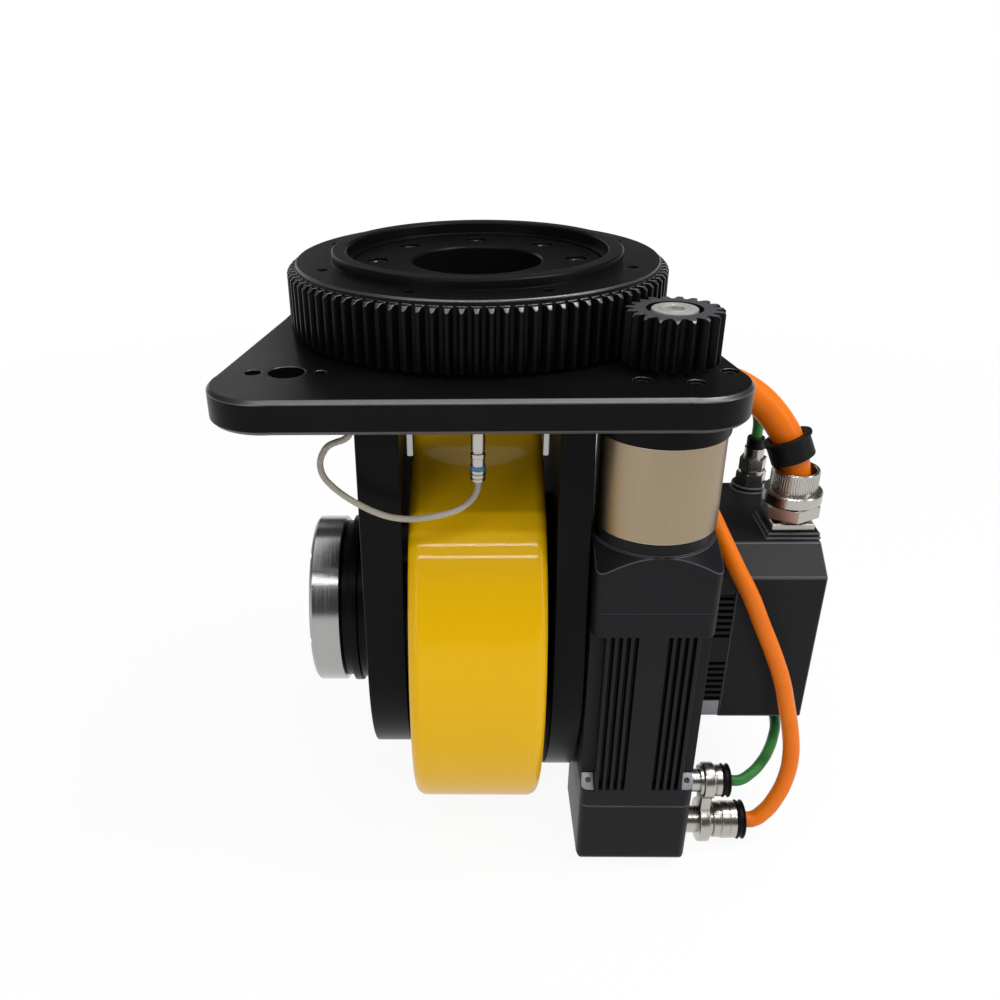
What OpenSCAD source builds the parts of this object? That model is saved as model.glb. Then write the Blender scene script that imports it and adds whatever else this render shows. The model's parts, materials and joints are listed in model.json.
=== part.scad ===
// Steered drive wheel unit for a floor vehicle: a slewing ring carries a turntable plate,
// a wheel between two arms, a drive motor in line with the axle and an upright steering motor.
// Millimetres. The origin is the middle of the chassis face of the slewing ring, +Z up, +X along the axle.

/* [Slewing ring] */
// Module of the ring gear and its pinion
gear_module = 2; // [2:0.05:2.1]
// Teeth on the ring gear
ring_teeth = 93; // [93:1:96]
// Teeth on the steering pinion
pinion_teeth = 19; // [18:1:20]
// Profile shift given to the pinion and taken from the ring
profile_shift = 0.5; // [0.3:0.05:0.6]
// Play between meshing flanks
flank_play = 0.14; // [0.08:0.01:0.25]
// Length of the ring gear's teeth
tooth_face = 29.6; // [24:0.1:34]
// Depth of the tooth tops below the chassis face
tooth_drop = 2.8; // [2:0.1:5]
// Chamfer on the tooth tips
tip_chamfer = 1.6; // [0.8:0.1:2]
// Outer diameter of the centring pilot
pilot_d = 144; // [138:0.5:150]
// Inner diameter of the centring pilot
pilot_bore = 128.6; // [126:0.1:132]
// Height of the pilot over the chassis face
pilot_h = 4.5; // [3:0.1:8]
// Depth of the ledge inside the pilot
ledge_drop = 1.2; // [0.8:0.1:2]
// Pitch diameter of the slewing balls
race_d = 123.6; // [122:0.1:125]
// Gap between the two slewing rings
race_gap = 0.5; // [0.4:0.1:0.8]
// Diameter of the slewing balls
ball_d = 11; // [8:0.5:12]
// Number of slewing balls
ball_count = 28; // [20:1:30]
// Circle of the tapped chassis holes
chassis_pcd = 158; // [154:0.5:164]
// Number of chassis holes
chassis_holes = 8; // [6:1:12]
// Diameter of the chassis holes
chassis_hole_d = 5; // [4:0.1:7]
// Depth of the chassis holes
chassis_hole_depth = 18; // [10:1:24]

/* [Inner ring] */
// Bore through the middle for cables
cable_bore = 64; // [50:1:72]
// Depth of the inner ring below the chassis face
inner_drop = 2; // [1.5:0.1:4]
// Circle of the inner ring screws
inner_screw_pcd = 98.8; // [94:0.2:102]
// Number of inner ring screws
inner_screw_count = 8; // [6:1:12]
// Thread of the inner ring screws
inner_screw_d = 6; // [4:1:6]

/* [Turntable plate] */
// Gap between the ring gear and the plate
plate_gap = 0.7; // [0.5:0.1:2]
// Thickness of the plate
plate_t = 15.5; // [12:0.5:20]
// Distance of the front edge from the swivel axis
plate_front = 119.3; // [116:0.1:126]
// Half of the width across the front
plate_half_w = 118; // [116:0.5:124]
// Radius of the front corners
plate_corner_r = 27; // [20:1:32]
// Rim of the plate outside the ring gear at the back
plate_rim = 7.5; // [6:0.5:12]
// Distance of the corner holes in front of the swivel axis
corner_hole_y = 81; // [78:0.5:84]
// Place of the smaller corner hole left of the swivel axis
small_hole_x = 100; // [98:0.5:102]
// Diameter of the smaller corner hole
small_hole_d = 7.4; // [5:0.1:9]
// Place of the larger corner hole left of the swivel axis
large_hole_x = 85; // [84:0.5:87]
// Diameter of the larger corner hole
large_hole_d = 16.4; // [12:0.1:18]
// Place of the tapped corner hole left of the swivel axis
third_hole_x = 70; // [69:0.5:71]
// Diameter of the tapped corner hole
third_hole_d = 5; // [4:0.1:6]

/* [Steering gearmotor] */
// Bearing of the pinion from +X, seen from above
pinion_turn = -40.25; // [-40.5:0.25:-39]
// Length of the pinion
pinion_face = 23; // [20:0.5:23.5]
// Depth of the pinion's top below the chassis face
pinion_drop = 8.4; // [8:0.1:10]
// Diameter of the output shaft
shaft_d = 16; // [12:0.5:18]
// Diameter of the gearbox nose
nose_d = 62; // [61:0.5:62.5]
// Height of the gearbox nose
nose_h = 13.8; // [10:0.1:18]
// Diameter of the gearbox ring
gearbox_d = 59.6; // [56:0.2:60]
// Height of the gearbox ring
gearbox_h = 47.1; // [40:0.1:55]
// Circle of the gearbox screws
gearbox_screw_pcd = 54; // [53:0.5:55]
// Height of the round neck on the motor adapter
neck_h = 6.5; // [4:0.1:9]
// Height of the square motor adapter
adapter_h = 30.8; // [26:0.1:34]
// Width across the flats of the steering motor
steer_w = 60; // [58:0.5:61]
// Height of the steering motor's front flange
steer_flange_h = 13.2; // [10:0.1:16]
// Height of the finned part of the steering motor
steer_fin_h = 97; // [85:1:105]
// Height of the steering motor's rear flange
steer_rear_h = 11; // [8:0.5:13]
// Height of the steering motor's end cap
steer_cap_h = 41; // [40:0.5:44]

/* [Wheel] */
// Diameter of the tyre
wheel_d = 230; // [220:1:234]
// Width of the tyre
wheel_w = 68; // [62:0.5:69]
// Thickness of the tyre
tyre_t = 15; // [10:0.5:20]
// Rounding of the tyre's edges
tyre_round = 6; // [3:0.5:9]
// Height of the plate's underside over the axle
axle_drop = 149.4; // [146:0.1:156]

/* [Arms] */
// Left arm, place of its inner face
left_arm_in = 36.6; // [36.5:0.1:38]
// Left arm, thickness
left_arm_t = 20.4; // [16:0.1:24]
// Left arm, radius of its round end
left_arm_r = 84; // [78:1:88]
// Right arm, place of its inner face
right_arm_in = 38; // [37:0.1:38.3]
// Right arm, thickness
right_arm_t = 16; // [15:0.1:16.3]
// Right arm, radius of its round end
right_arm_r = 97; // [90:1:100]
// Half of the arms' width under the plate
arm_top_half = 80; // [76:1:82]

/* [Outboard bearing] */
// Length of the stepped bearing flange
flange_l = 18.1; // [17.8:0.1:24]
// Diameter of the bearing cap
cap_d = 97.2; // [95:0.2:104]
// Length of the bearing cap
cap_l = 17.3; // [15:0.1:22]
// Bore of the axle bearing
bearing_bore = 35; // [30:1:36]
// Outer diameter of the axle bearing
bearing_d = 72; // [70:1:73]
// Width of the axle bearing
bearing_w = 17; // [15:0.5:17.5]

/* [Drive gearmotor] */
// Module of the planetary gears
planet_module = 1.25; // [1.2:0.05:1.3]
// Teeth on the sun gear
sun_teeth = 18; // [15:3:18]
// Teeth on each planet gear
planet_teeth = 27; // [21:6:27]
// Length of the planetary teeth
planet_face = 13; // [10:0.5:13]
// Outer diameter of the fixed planetary ring
planet_ring_d = 108; // [104:1:110]
// Length of the round motor adapter
drive_adapter_l = 18; // [16.5:0.5:22]
// Width across the flats of the drive motor
drive_w = 112.8; // [108:0.2:114]
// Corner cut of the drive motor, along its flat top
drive_cut_flat = 18; // [14:0.5:20]
// Corner cut of the drive motor, down its sides
drive_cut_side = 11.5; // [9:0.5:14]
// Length of the drive motor's round barrel
drive_barrel_l = 46; // [44.5:0.5:50]
// Length of the finned part of the drive motor
drive_fin_l = 18; // [15:0.5:24]
// Length of the drive motor's end cap
drive_cap_l = 46.5; // [44:0.5:50]

/* [Home sensor] */
// Diameter of the sensor's barrel
sensor_d = 6.5; // [5:0.5:8]
// Distance of the sensor in front of the swivel axis
sensor_y = 85; // [84.5:0.5:87]
// Length of the sensor below the plate
sensor_drop = 35.4; // [30:0.2:40]

/* [Hidden] */
$fn = 96;

// Clearances
seat = 0.05;
running = 0.05;
ball_play = 0.3;
through = 1;
screw_play = 0.4;
head_play = 0.8;
join = 0.5;
// Straight edges lie this far inside the rounds that they run into
edge_inset = 0.3;

// Broken edges
edge_break = 0.6;
pilot_break = 0.8;
bore_break = 1;
cap_break = 1.6;
pinion_break = 1;

// Colours
black = [0.06, 0.06, 0.065];
dark_grey = [0.13, 0.13, 0.14];
champagne = [0.62, 0.56, 0.47];
yellow = [0.98, 0.74, 0.02];
steel = [0.75, 0.75, 0.74];
nickel = [0.72, 0.70, 0.66];
orange = [0.95, 0.42, 0.03];
green = [0.10, 0.50, 0.20];
rubber = [0.04, 0.04, 0.04];
lead_grey = [0.55, 0.55, 0.54];

// Gear geometry
pressure = 20;
dedendum = 1.25;
ring_pitch_r = gear_module * ring_teeth / 2;
pinion_pitch_r = gear_module * pinion_teeth / 2;
ring_tip_r = ring_pitch_r + gear_module * (1 - profile_shift);
ring_root_r = ring_pitch_r - gear_module * (dedendum + profile_shift);
pinion_tip_r = pinion_pitch_r + gear_module * (1 + profile_shift);
pinion_root_r = pinion_pitch_r - gear_module * (dedendum - profile_shift);
mesh_distance = ring_pitch_r + pinion_pitch_r;
pinion_at = mesh_distance * [cos(pinion_turn), sin(pinion_turn)];
planet_ring_teeth = sun_teeth + 2 * planet_teeth;
planet_orbit = planet_module * (sun_teeth + planet_teeth) / 2;
planet_ring_pitch_r = planet_module * planet_ring_teeth / 2;

// Levels along the swivel axis
ring_bottom = -tooth_drop - tooth_face;
plate_top = ring_bottom - plate_gap;
plate_bottom = plate_top - plate_t;
axle_z = plate_bottom - axle_drop;
ball_z = ring_bottom / 2;
annulus_rise = 0.2;
annulus_r = ring_root_r + annulus_rise;
race_r = race_d / 2;
plate_back_r = ring_tip_r + plate_rim;
nose_bottom = plate_bottom - nose_h;
gearbox_bottom = nose_bottom - gearbox_h;
neck_bottom = gearbox_bottom - neck_h;
adapter_bottom = neck_bottom - adapter_h;
steer_flange_bottom = adapter_bottom - steer_flange_h;
steer_fin_bottom = steer_flange_bottom - steer_fin_h;
steer_rear_bottom = steer_fin_bottom - steer_rear_h;
steer_bottom = steer_rear_bottom - steer_cap_h;

// Places along the axle
bearing_shoulder = 0.5;
left_arm_out = -left_arm_in - left_arm_t;
flange_out = left_arm_out - flange_l;
cap_out = flange_out - cap_l;
bearing_in = left_arm_out - bearing_shoulder;
bearing_out = bearing_in - bearing_w;
right_arm_out = right_arm_in + right_arm_t;
drive_body_in = right_arm_out + drive_adapter_l;
drive_fin_in = drive_body_in + drive_barrel_l;
drive_cap_in = drive_fin_in + drive_fin_l;
drive_out = drive_cap_in + drive_cap_l;
drive_half = drive_w / 2;
drive_top = axle_z + drive_half;
barrel_gap = 1.4;
drive_barrel_r = -pinion_at[1] - steer_w / 2 - barrel_gap;

// Socket screws
function head_d(d) = 1.5 * d + 1;
function socket_d(d) = 0.95 * d;
head_sink = 1;
tip_play = 0.4;
inner_head_sink = inner_screw_d + head_sink;
inner_tip_cover = 3;
arm_screw_d = 8;
arm_screw_grip = 24;
arm_screw_ys = [-62, -44, 44, 62];
arm_screw_sink = 0.5;
cap_screw_d = 4;
cap_screw_r = 43.5;
cap_screw_count = 6;
cap_screw_grip = 12;
hub_screw_d = 8;
hub_screw_r = 30;
hub_screw_count = 6;
hub_screw_grip = 14;
gearbox_screw_d = 4;
gearbox_screw_turns = [-125, -75, -25, 55];
gearbox_screw_grip = 9;
gearbox_head_sink = gearbox_screw_d + head_sink;
adapter_screw_d = 5;
adapter_screw_r = planet_ring_d / 2 + 6.5;
adapter_screw_turns = [22.5, 67.5, 112.5, 247.5, 292.5, 337.5];
adapter_screw_grip = 11;
adapter_flange_l = 7.2;
adapter_flange_r = adapter_screw_r + 5.5;

// Wheel and hub
rim_t = 12;
rim_r = wheel_d / 2 - tyre_t;
rim_side = 1;
web_half = 12;
web_bore_r = 12;
web_hole_d = 24;
web_hole_count = 6;
hub_flange_r = 40;
axle_neck_r = bearing_bore / 2 + 4.5;
axle_flange_t = 12;
axle_flange_out = -web_half - axle_flange_t;
hub_bearing_in = 24;
hub_race_r = [46, 48.5, 52.5, 55];
hub_ball_r = 3;
hub_ball_orbit = (hub_race_r[1] + hub_race_r[2]) / 2;
hub_ball_count = 36;
hub_boss_wall = 7;
hub_boss_lip = 4;
carrier_lip = 2;
carrier_end = right_arm_in + 0.5;
carrier_floor = web_half + 8;
planet_in = carrier_end + 1;
planet_pin_r = 6;
ring_shoulder_t = 2;
ring_shoulder_w = 4;
axle_race_wall = 5;
axle_ball_orbit = (bearing_bore + bearing_d) / 4;
axle_ball_r = 5.2;
axle_ball_count = 10;
axle_end = bearing_out - 9.5;
nut_l = 7.5;
nut_wall = 5.5;
nut_slot = 5;
nut_slots = 4;
cap_wall = 4.5;
spigot_r = 38;
spigot_l = 11;
spigot_bore_r = bearing_d / 2 - 5;
cap_lip = 2;
flange_steps = [-2.6, 0.4, -1.6, 2.4];

// Drive motor insides
rotor_shaft_r = 8;
rotor_r = 30;
rotor_air = 1;
rotor_wall = 6;
rotor_hole_r = rotor_shaft_r + 6;
encoder_r = 20;
encoder_in = 9;
encoder_t = 3;
encoder_tail = 2;
encoder_room = 3;
encoder_end = drive_cap_in + encoder_in + encoder_t;

// Steering motor sections
steer_half = steer_w / 2;
steer_notch = 7;
drive_notch = 11;
fin_pitch = 3.9;
fin_slot = 2;
steer_fin_band = 12.6;
steer_fin_count = 4;
steer_fin_depth = 4;
drive_fin_band = 14;
drive_fin_count = 7;
drive_fin_depth = 5;
drive_fin_half = drive_half - drive_cut_side;
foot_h = 11;
foot_socket = 3;
foot_play = 0.6;
arch_slope = 0.84;
arch_ledge = 1.2;
steer_corner_r = 5;
steer_cap_break = 3;
neck_r = gearbox_d / 2 - 1;

// Connectors
power_at = [drive_cap_in + 33, -20];
power_base_w = 26;
power_base_h = 3.5;
power_nut_r = 15.2;
power_nut_top = 11;
power_ring_top = 17.5;
power_sleeve_r = 14;
power_sleeve_top = 29;
power_bore_r = 11.2;
power_floor = 14.6;
encoder_at = [drive_cap_in + 26, drive_half - 23.4];
encoder_pad_r = 10.5;
// Height, radius and number of sides of each step of the encoder connector
encoder_steps = [[7, 8.8, 6], [2, 7.6, 96], [7, 7.8, 6], [6, 5.6, 96]];
encoder_seal_r = 5;
encoder_seal_h = 6.6;
pad_h = 3;
pad_w = 28;
steer_side = pinion_at[0] + steer_half;
steer_socket_y = pinion_at[1] - 8;
upper_socket_z = steer_rear_bottom - 1;
lower_socket_z = steer_rear_bottom - 30;
upper_socket_r = 7.8;
lower_socket_r = 9.5;
upper_socket_l = 20;
lower_socket_l = 31.5;
socket_plate_in = 4;
socket_plate_t = 5;
socket_plate_rim = 2;
socket_plate_half = 4;
seal_l = 4.5;
seal_rim = 0.5;
seal_gap = 0.02;
block_half = 29;
block_h = 25;
block_out = right_arm_out + 1;
collar_l = 13;
collar_r = 11.5;
collar_lip_l = 2;
collar_lip_r = 12.8;
collar_play = 0.9;

// Home sensor and stud ends
sensor_low = plate_bottom - sensor_drop;
sensor_head_gap = 0.4;
light_top = plate_bottom - 27.7;
light_h = 3;
light_depth = 1;
light_rim = 0.3;
light_collar_h = 2.8;
light_collar_rim = 0.6;
bush_at = [-57, -94];
bush_d = 6;
bush_sink = 6;
bush_drop = 3.4;
bush_rim = 1;
bush_join = 0.5;
stud_d = 3.6;
stud_x = 31;
stud_y = sensor_y - 1;
stud_drop = 23;
stud_sink = 8;

// Pinion
washer_t = 2.2;
washer_rim = 2.1;
washer_bore_r = 3.3;
recess_r = 12.5;
recess_h = 3.2;
bolt_d = 6;
bolt_head_r = 6.5;
bolt_head_h = 3;
bolt_socket_h = 2.2;
bolt_grip = 14;
bolt_hole_l = 16;
shaft_sink = 11.5;
shaft_hole_l = 12;
nose_hole_r = shaft_d / 2 + 6;

// Cable sizes
power_r = 8;
steer_power_r = 4.5;
encoder_cable_r = 3;
lead_r = 1.5;

// Leads the two ends of a route to the given points. The first and last stretch keep their directions
function end_share(i, last) = pow(max(0, min(1, 1 - (i - 1) / (last - 2))), 2);
function led(route, start, end) = let(last = len(route) - 1) [for (i = [0 : last]) route[i]
    + (start - route[0]) * end_share(i, last) + (end - route[last]) * end_share(last - i, last)];
cable_z = plate_bottom - 12.4;
power_route = led([[169, -20, -124], [169, -20, -113], [167, -19, -102], [162, -17, -90], [154, -14, -79],
    [144, -11, -70], [132, -8, -64], [119, -6, -62], [106, -4, -61], [93, -3, -61], [80, -2, -61],
    [67, -2, -61], [55, -2, -61]],
    concat(power_at, drive_top + pad_h + power_floor), [block_out, -2, cable_z]);
drive_encoder_route = led([[162, 33, -110], [162, 33, -103], [160, 32, -95], [155, 31, -86], [147, 29, -77],
    [137, 26, -70], [125, 22, -65], [112, 18, -62], [98, 16, -61], [84, 15, -61], [70, 14, -61], [55, 14, -61]],
    concat(encoder_at, drive_top + pad_h + height_before(encoder_steps, 4) + encoder_seal_h), [block_out, 14, cable_z]);
steer_power_route = led([[151.5, -80.4, -298], [157, -80.4, -298], [163, -80, -293], [169, -79, -282],
    [173, -77, -269], [174, -75, -256], [172, -73, -241], [168, -71, -225], [163, -70, -208], [156, -69, -191],
    [148, -68, -174], [140, -67, -157], [132, -64, -143], [125, -57, -130], [118, -48, -117], [109, -39, -104],
    [98, -31, -91], [86, -24, -78], [74, -19, -67], [62, -18, -61], [55, -18, -61]],
    [steer_side + lower_socket_l + seal_l + seal_gap, steer_socket_y, lower_socket_z], [block_out, -18, cable_z]);
steer_encoder_route = led([[140, -80.4, -269], [146, -80.4, -269], [153, -77, -267], [161, -69, -265],
    [167, -60, -264], [172, -50, -263], [176, -39, -262], [178, -22, -261], [177, 0, -261], [175, 22, -261],
    [172, 42, -259], [168, 56, -252], [165, 66, -240], [161, 70, -222], [156, 71, -200], [151, 70, -178],
    [143, 66, -155], [130, 58, -133], [116, 48, -113], [102, 39, -97], [87, 31, -81], [74, 25, -69], [62, 23, -61], [55, 23, -61]],
    [steer_side + upper_socket_l + seal_l + seal_gap, steer_socket_y, upper_socket_z], [block_out, 23, cable_z]);
sensor_route = led([[0, -85, -84], [0, -85, -88], [-3, -87, -93], [-10, -90, -97], [-20, -92, -99], [-31, -93, -100],
    [-42, -94, -98], [-53, -94, -93], [-63, -94, -86], [-70, -94, -78], [-71, -94, -70], [-67, -94, -63],
    [-60, -94, -60], [-57, -94, -57], [-57, -94, -52]],
    [0, -sensor_y, sensor_low], concat(bush_at, plate_bottom - bush_drop));

// Moves the children to the axle: their z runs along +X, their x along +Y, their y up
module on_axle(x = 0) {
    translate([x, 0, axle_z]) rotate([90, 0, 90]) children();
}

// Moves the children to the steering pinion's axis
module on_pinion(z = 0) {
    translate([pinion_at[0], pinion_at[1], z]) children();
}

// Repeats the children on a circle
module around(count, radius, start = 0) {
    for (i = [0 : count - 1]) rotate(start + i * 360 / count) translate([radius, 0, 0]) children();
}

// A ring from z0 to z1
module tube(z0, z1, outer_r, inner_r = 0) {
    translate([0, 0, z0]) difference() {
        cylinder(h = z1 - z0, r = outer_r);
        if (inner_r > 0) translate([0, 0, -through]) cylinder(h = z1 - z0 + 2 * through, r = inner_r);
    }
}

// A socket screw that hangs down from its seat at z = 0
module socket_screw(d, shank) {
    difference() {
        union() {
            cylinder(h = d, d = head_d(d));
            translate([0, 0, -shank]) cylinder(h = shank + d / 2, d = d);
        }
        translate([0, 0, d / 2]) cylinder(h = d, d = socket_d(d), $fn = 6);
    }
}

// Involute gear outline
function inv_deg(angle) = tan(angle) * 180 / PI - angle;
function flank_half(teeth, mod, shift, play, r) =
    let(pitch_r = mod * teeth / 2,
        base_r = pitch_r * cos(pressure),
        at_r = max(r, base_r),
        half = (90 + 2 * shift * tan(pressure) * 180 / PI) / teeth - play / (2 * pitch_r) * 180 / PI)
    half + inv_deg(pressure) - inv_deg(acos(min(1, base_r / at_r)));
function polar(r, angle) = [r * cos(angle), r * sin(angle)];
module gear_outline(teeth, mod, shift, play, tip_r, root_r, turn = 0) {
    base_r = mod * teeth / 2 * cos(pressure);
    start_r = max(base_r, root_r);
    steps = 4;
    radii = [for (i = [0 : steps]) start_r + (tip_r - start_r) * i / steps];
    root_half = flank_half(teeth, mod, shift, play, start_r);
    polygon([for (tooth = [0 : teeth - 1]) let(mid = turn + tooth * 360 / teeth) each [
        polar(root_r, mid - root_half),
        each [for (r = radii) polar(r, mid - flank_half(teeth, mod, shift, play, r))],
        each [for (i = [steps : -1 : 0]) polar(radii[i], mid + flank_half(teeth, mod, shift, play, radii[i]))],
        polar(root_r, mid + root_half)]]);
}

// Extrudes a gear from z0 to z1 with its tips chamfered at both ends
module chamfered_gear(z0, z1, tip_r, chamfer) {
    intersection() {
        translate([0, 0, z0]) linear_extrude(z1 - z0) children();
        rotate_extrude() polygon([[0, z0], [tip_r - chamfer, z0], [tip_r + 0.01, z0 + chamfer],
            [tip_r + 0.01, z1 - chamfer], [tip_r - chamfer, z1], [0, z1]]);
    }
}

// Square with round corners
module rounded_square(w, r) {
    square([w - 2 * r, w], center = true);
    square([w, w - 2 * r], center = true);
    for (x = [-1, 1], y = [-1, 1]) translate([x, y] * (w / 2 - r)) circle(r);
}

// Square with cut corners, flat along its top and bottom and side down its sides
module cut_square(w, flat, side) {
    h = w / 2;
    polygon([[h, h - side], [h - flat, h], [flat - h, h], [-h, h - side], [-h, side - h], [flat - h, -h],
        [h - flat, -h], [h, side - h]]);
}

// Motor section with cooling slots on four sides and notched corners
module finned_section(w, h, notch, band, count, depth) {
    difference() {
        square([w, h], center = true);
        for (x = [-w, w], y = [-h, h]) translate([x, y] / 2) square(2 * notch, center = true);
        for (turn = [0 : 90 : 270], side = [-1, 1], i = [0 : count - 1])
            rotate(turn) translate([side * (band / 2 + (i + 0.5) * fin_pitch), (turn % 180 == 0 ? h : w) / 2])
                square([fin_slot, 2 * depth], center = true);
    }
}

// A tube swept along route points
function unit(v) = v / norm(v);
function route_dir(p, i) = unit(p[min(i + 1, len(p) - 1)] - p[max(i - 1, 0)]);
module swept_tube(route, r, sides, aside = [0, 1, 0]) {
    last = len(route) - 1;
    points = [for (i = [0 : last]) let(t = route_dir(route, i), u = unit(cross(t, aside)), v = cross(t, u))
        for (k = [0 : sides - 1]) route[i] + r * (u * cos(k * 360 / sides) + v * sin(k * 360 / sides))];
    walls = [for (i = [0 : last - 1], k = [0 : sides - 1]) let(a = i * sides + k, b = i * sides + (k + 1) % sides)
        each [[a, a + sides, b], [b, a + sides, b + sides]]];
    polyhedron(points, concat(walls, [[for (k = [0 : sides - 1]) k],
        [for (k = [sides - 1 : -1 : 0]) last * sides + k]]));
}

// Slewing ring
module ring_gear() {
    bore_r = race_r + race_gap / 2;
    color(black) difference() {
        union() {
            rotate_extrude() polygon([[bore_r, ring_bottom], [annulus_r, ring_bottom], [annulus_r, -edge_break],
                [annulus_r - edge_break, 0], [pilot_d / 2, 0], [pilot_d / 2, pilot_h - pilot_break],
                [pilot_d / 2 - pilot_break, pilot_h], [pilot_bore / 2 + pilot_break, pilot_h],
                [pilot_bore / 2, pilot_h - pilot_break],
                [pilot_bore / 2, -ledge_drop], [bore_r, -ledge_drop]]);
            difference() {
                chamfered_gear(ring_bottom, -tooth_drop, ring_tip_r, tip_chamfer)
                    gear_outline(ring_teeth, gear_module, -profile_shift, flank_play, ring_tip_r, ring_root_r,
                        pinion_turn);
                translate([0, 0, ring_bottom - through]) cylinder(h = tooth_face + 2 * through, r = chassis_pcd / 2);
            }
        }
        rotate_extrude() translate([race_r, ball_z]) circle(ball_d / 2 + ball_play);
        around(chassis_holes, chassis_pcd / 2, 180 / chassis_holes)
            translate([0, 0, -chassis_hole_depth]) cylinder(h = chassis_hole_depth + through, d = chassis_hole_d);
    }
}

module slew_balls() {
    color(steel) around(ball_count, race_r) translate([0, 0, ball_z]) sphere(d = ball_d);
}

module inner_ring() {
    outer_r = race_r - race_gap / 2;
    color(black) difference() {
        rotate_extrude() polygon([[cable_bore / 2, plate_top], [outer_r, plate_top], [outer_r, -inner_drop - edge_break],
            [outer_r - edge_break, -inner_drop], [cable_bore / 2 + bore_break, -inner_drop],
            [cable_bore / 2, -inner_drop - bore_break]]);
        rotate_extrude() translate([race_r, ball_z]) circle(ball_d / 2 + ball_play);
        around(inner_screw_count, inner_screw_pcd / 2) {
            translate([0, 0, plate_top - through]) cylinder(h = -plate_top + through, d = inner_screw_d + screw_play);
            translate([0, 0, -inner_drop - inner_head_sink])
                cylinder(h = -plate_top, d = head_d(inner_screw_d) + head_play);
        }
    }
}

module inner_ring_screws() {
    seat_z = -inner_drop - inner_head_sink;
    color(black) around(inner_screw_count, inner_screw_pcd / 2) translate([0, 0, seat_z])
        socket_screw(inner_screw_d, seat_z - plate_top + plate_t - inner_tip_cover);
}

// Turntable plate
corner_at = [plate_half_w - plate_corner_r, -plate_front + plate_corner_r];
// Direction of the line that touches the back round and a front corner round on the right
side_normal = atan2(corner_at[1], corner_at[0]) + acos((plate_back_r - plate_corner_r) / norm(corner_at));
function flipped(p) = [-p[0], p[1]];
// Outline of the plate: a round back and two round front corners, joined by straight edges
module plate_outline() {
    back = polar(plate_back_r - edge_inset, side_normal);
    side = corner_at + polar(plate_corner_r - edge_inset, side_normal);
    front = [corner_at[0], edge_inset - plate_front];
    circle(plate_back_r);
    for (at = [corner_at, flipped(corner_at)]) translate(at) circle(plate_corner_r);
    polygon([flipped(back), flipped(side), flipped(front), front, side, back]);
}
module arm_screw_places() {
    for (x = [-left_arm_in - left_arm_t / 2, right_arm_in + right_arm_t / 2], y = arm_screw_ys)
        translate([x, y, plate_top - arm_screw_d - arm_screw_sink]) children();
}
module gearbox_screw_places() {
    for (turn = gearbox_screw_turns) rotate(turn) translate([gearbox_screw_pcd / 2, 0, 0]) children();
}
module turntable_plate() {
    color(black) difference() {
        translate([0, 0, plate_bottom]) linear_extrude(plate_t) plate_outline();
        translate([0, 0, plate_bottom - through]) cylinder(h = plate_t + 2 * through, d = cable_bore + 2 * bore_break);
        around(inner_screw_count, inner_screw_pcd / 2) translate([0, 0, plate_bottom + inner_tip_cover - tip_play])
            cylinder(h = plate_t, d = inner_screw_d + 2 * seat);
        for (hole = [[small_hole_x, small_hole_d], [large_hole_x, large_hole_d], [third_hole_x, third_hole_d]])
            translate([-hole[0], -corner_hole_y, plate_bottom - through])
                cylinder(h = plate_t + 2 * through, d = hole[1]);
        on_pinion(plate_bottom - through) cylinder(h = plate_t + 2 * through, r = nose_hole_r);
        on_pinion(plate_bottom - through) gearbox_screw_places()
            cylinder(h = plate_t + 2 * through, d = gearbox_screw_d + 2 * seat);
        on_pinion(plate_top - gearbox_head_sink) gearbox_screw_places()
            cylinder(h = plate_t, d = head_d(gearbox_screw_d) + head_play);
        arm_screw_places() {
            translate([0, 0, -plate_t]) cylinder(h = plate_t + through, d = arm_screw_d + 2 * seat);
            cylinder(h = plate_t, d = head_d(arm_screw_d) + head_play);
        }
        translate([0, -sensor_y, plate_bottom - through])
            cylinder(h = plate_t + 2 * through, d = sensor_d + 2 * seat);
        plate_stud_places() translate([0, 0, -through])
            cylinder(h = stud_sink + tip_play + through, d = stud_d + 2 * seat);
        translate(concat(bush_at, plate_bottom - through))
            cylinder(h = bush_sink + tip_play + through, d = bush_d + 2 * seat);
    }
}

module arm_screws() {
    color(dark_grey) arm_screw_places() socket_screw(arm_screw_d, arm_screw_grip);
}

// Stud ends under the plate
module plate_stud_places() {
    for (x = [-stud_x, stud_x]) translate([x, -stud_y, plate_bottom]) children();
}
module plate_studs() {
    color(steel) plate_stud_places() tube(-stud_drop, stud_sink, stud_d / 2);
}

// Arms: a straight-sided hanger with a round end about the axle, drawn in the axle's frame
function touch(corner, r) = polar(r, atan2(corner[1], corner[0]) - acos(r / norm(corner)));
module arm_outline(r) {
    corner = [arm_top_half, axle_drop];
    t = touch(corner, r - edge_inset);
    circle(r);
    polygon([[-corner[0], corner[1]], [-t[0], t[1]], [0, 0], t, corner]);
}
module arm_screw_holes(x) {
    for (y = arm_screw_ys) translate([x, y, plate_bottom - arm_screw_grip])
        cylinder(h = arm_screw_grip + through, d = arm_screw_d + 2 * seat);
}
module left_arm() {
    color(black) difference() {
        on_axle(left_arm_out) linear_extrude(left_arm_t) arm_outline(left_arm_r);
        on_axle(left_arm_out - through) cylinder(h = left_arm_t + 2 * through, r = spigot_r + seat);
        on_axle(left_arm_out - through) around(cap_screw_count, cap_screw_r)
            cylinder(h = cap_screw_grip + 2 * through, d = cap_screw_d + 2 * seat);
        arm_screw_holes(-left_arm_in - left_arm_t / 2);
    }
}
module adapter_screw_places() {
    for (turn = adapter_screw_turns) rotate(turn) translate([adapter_screw_r, 0, 0]) children();
}
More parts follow.
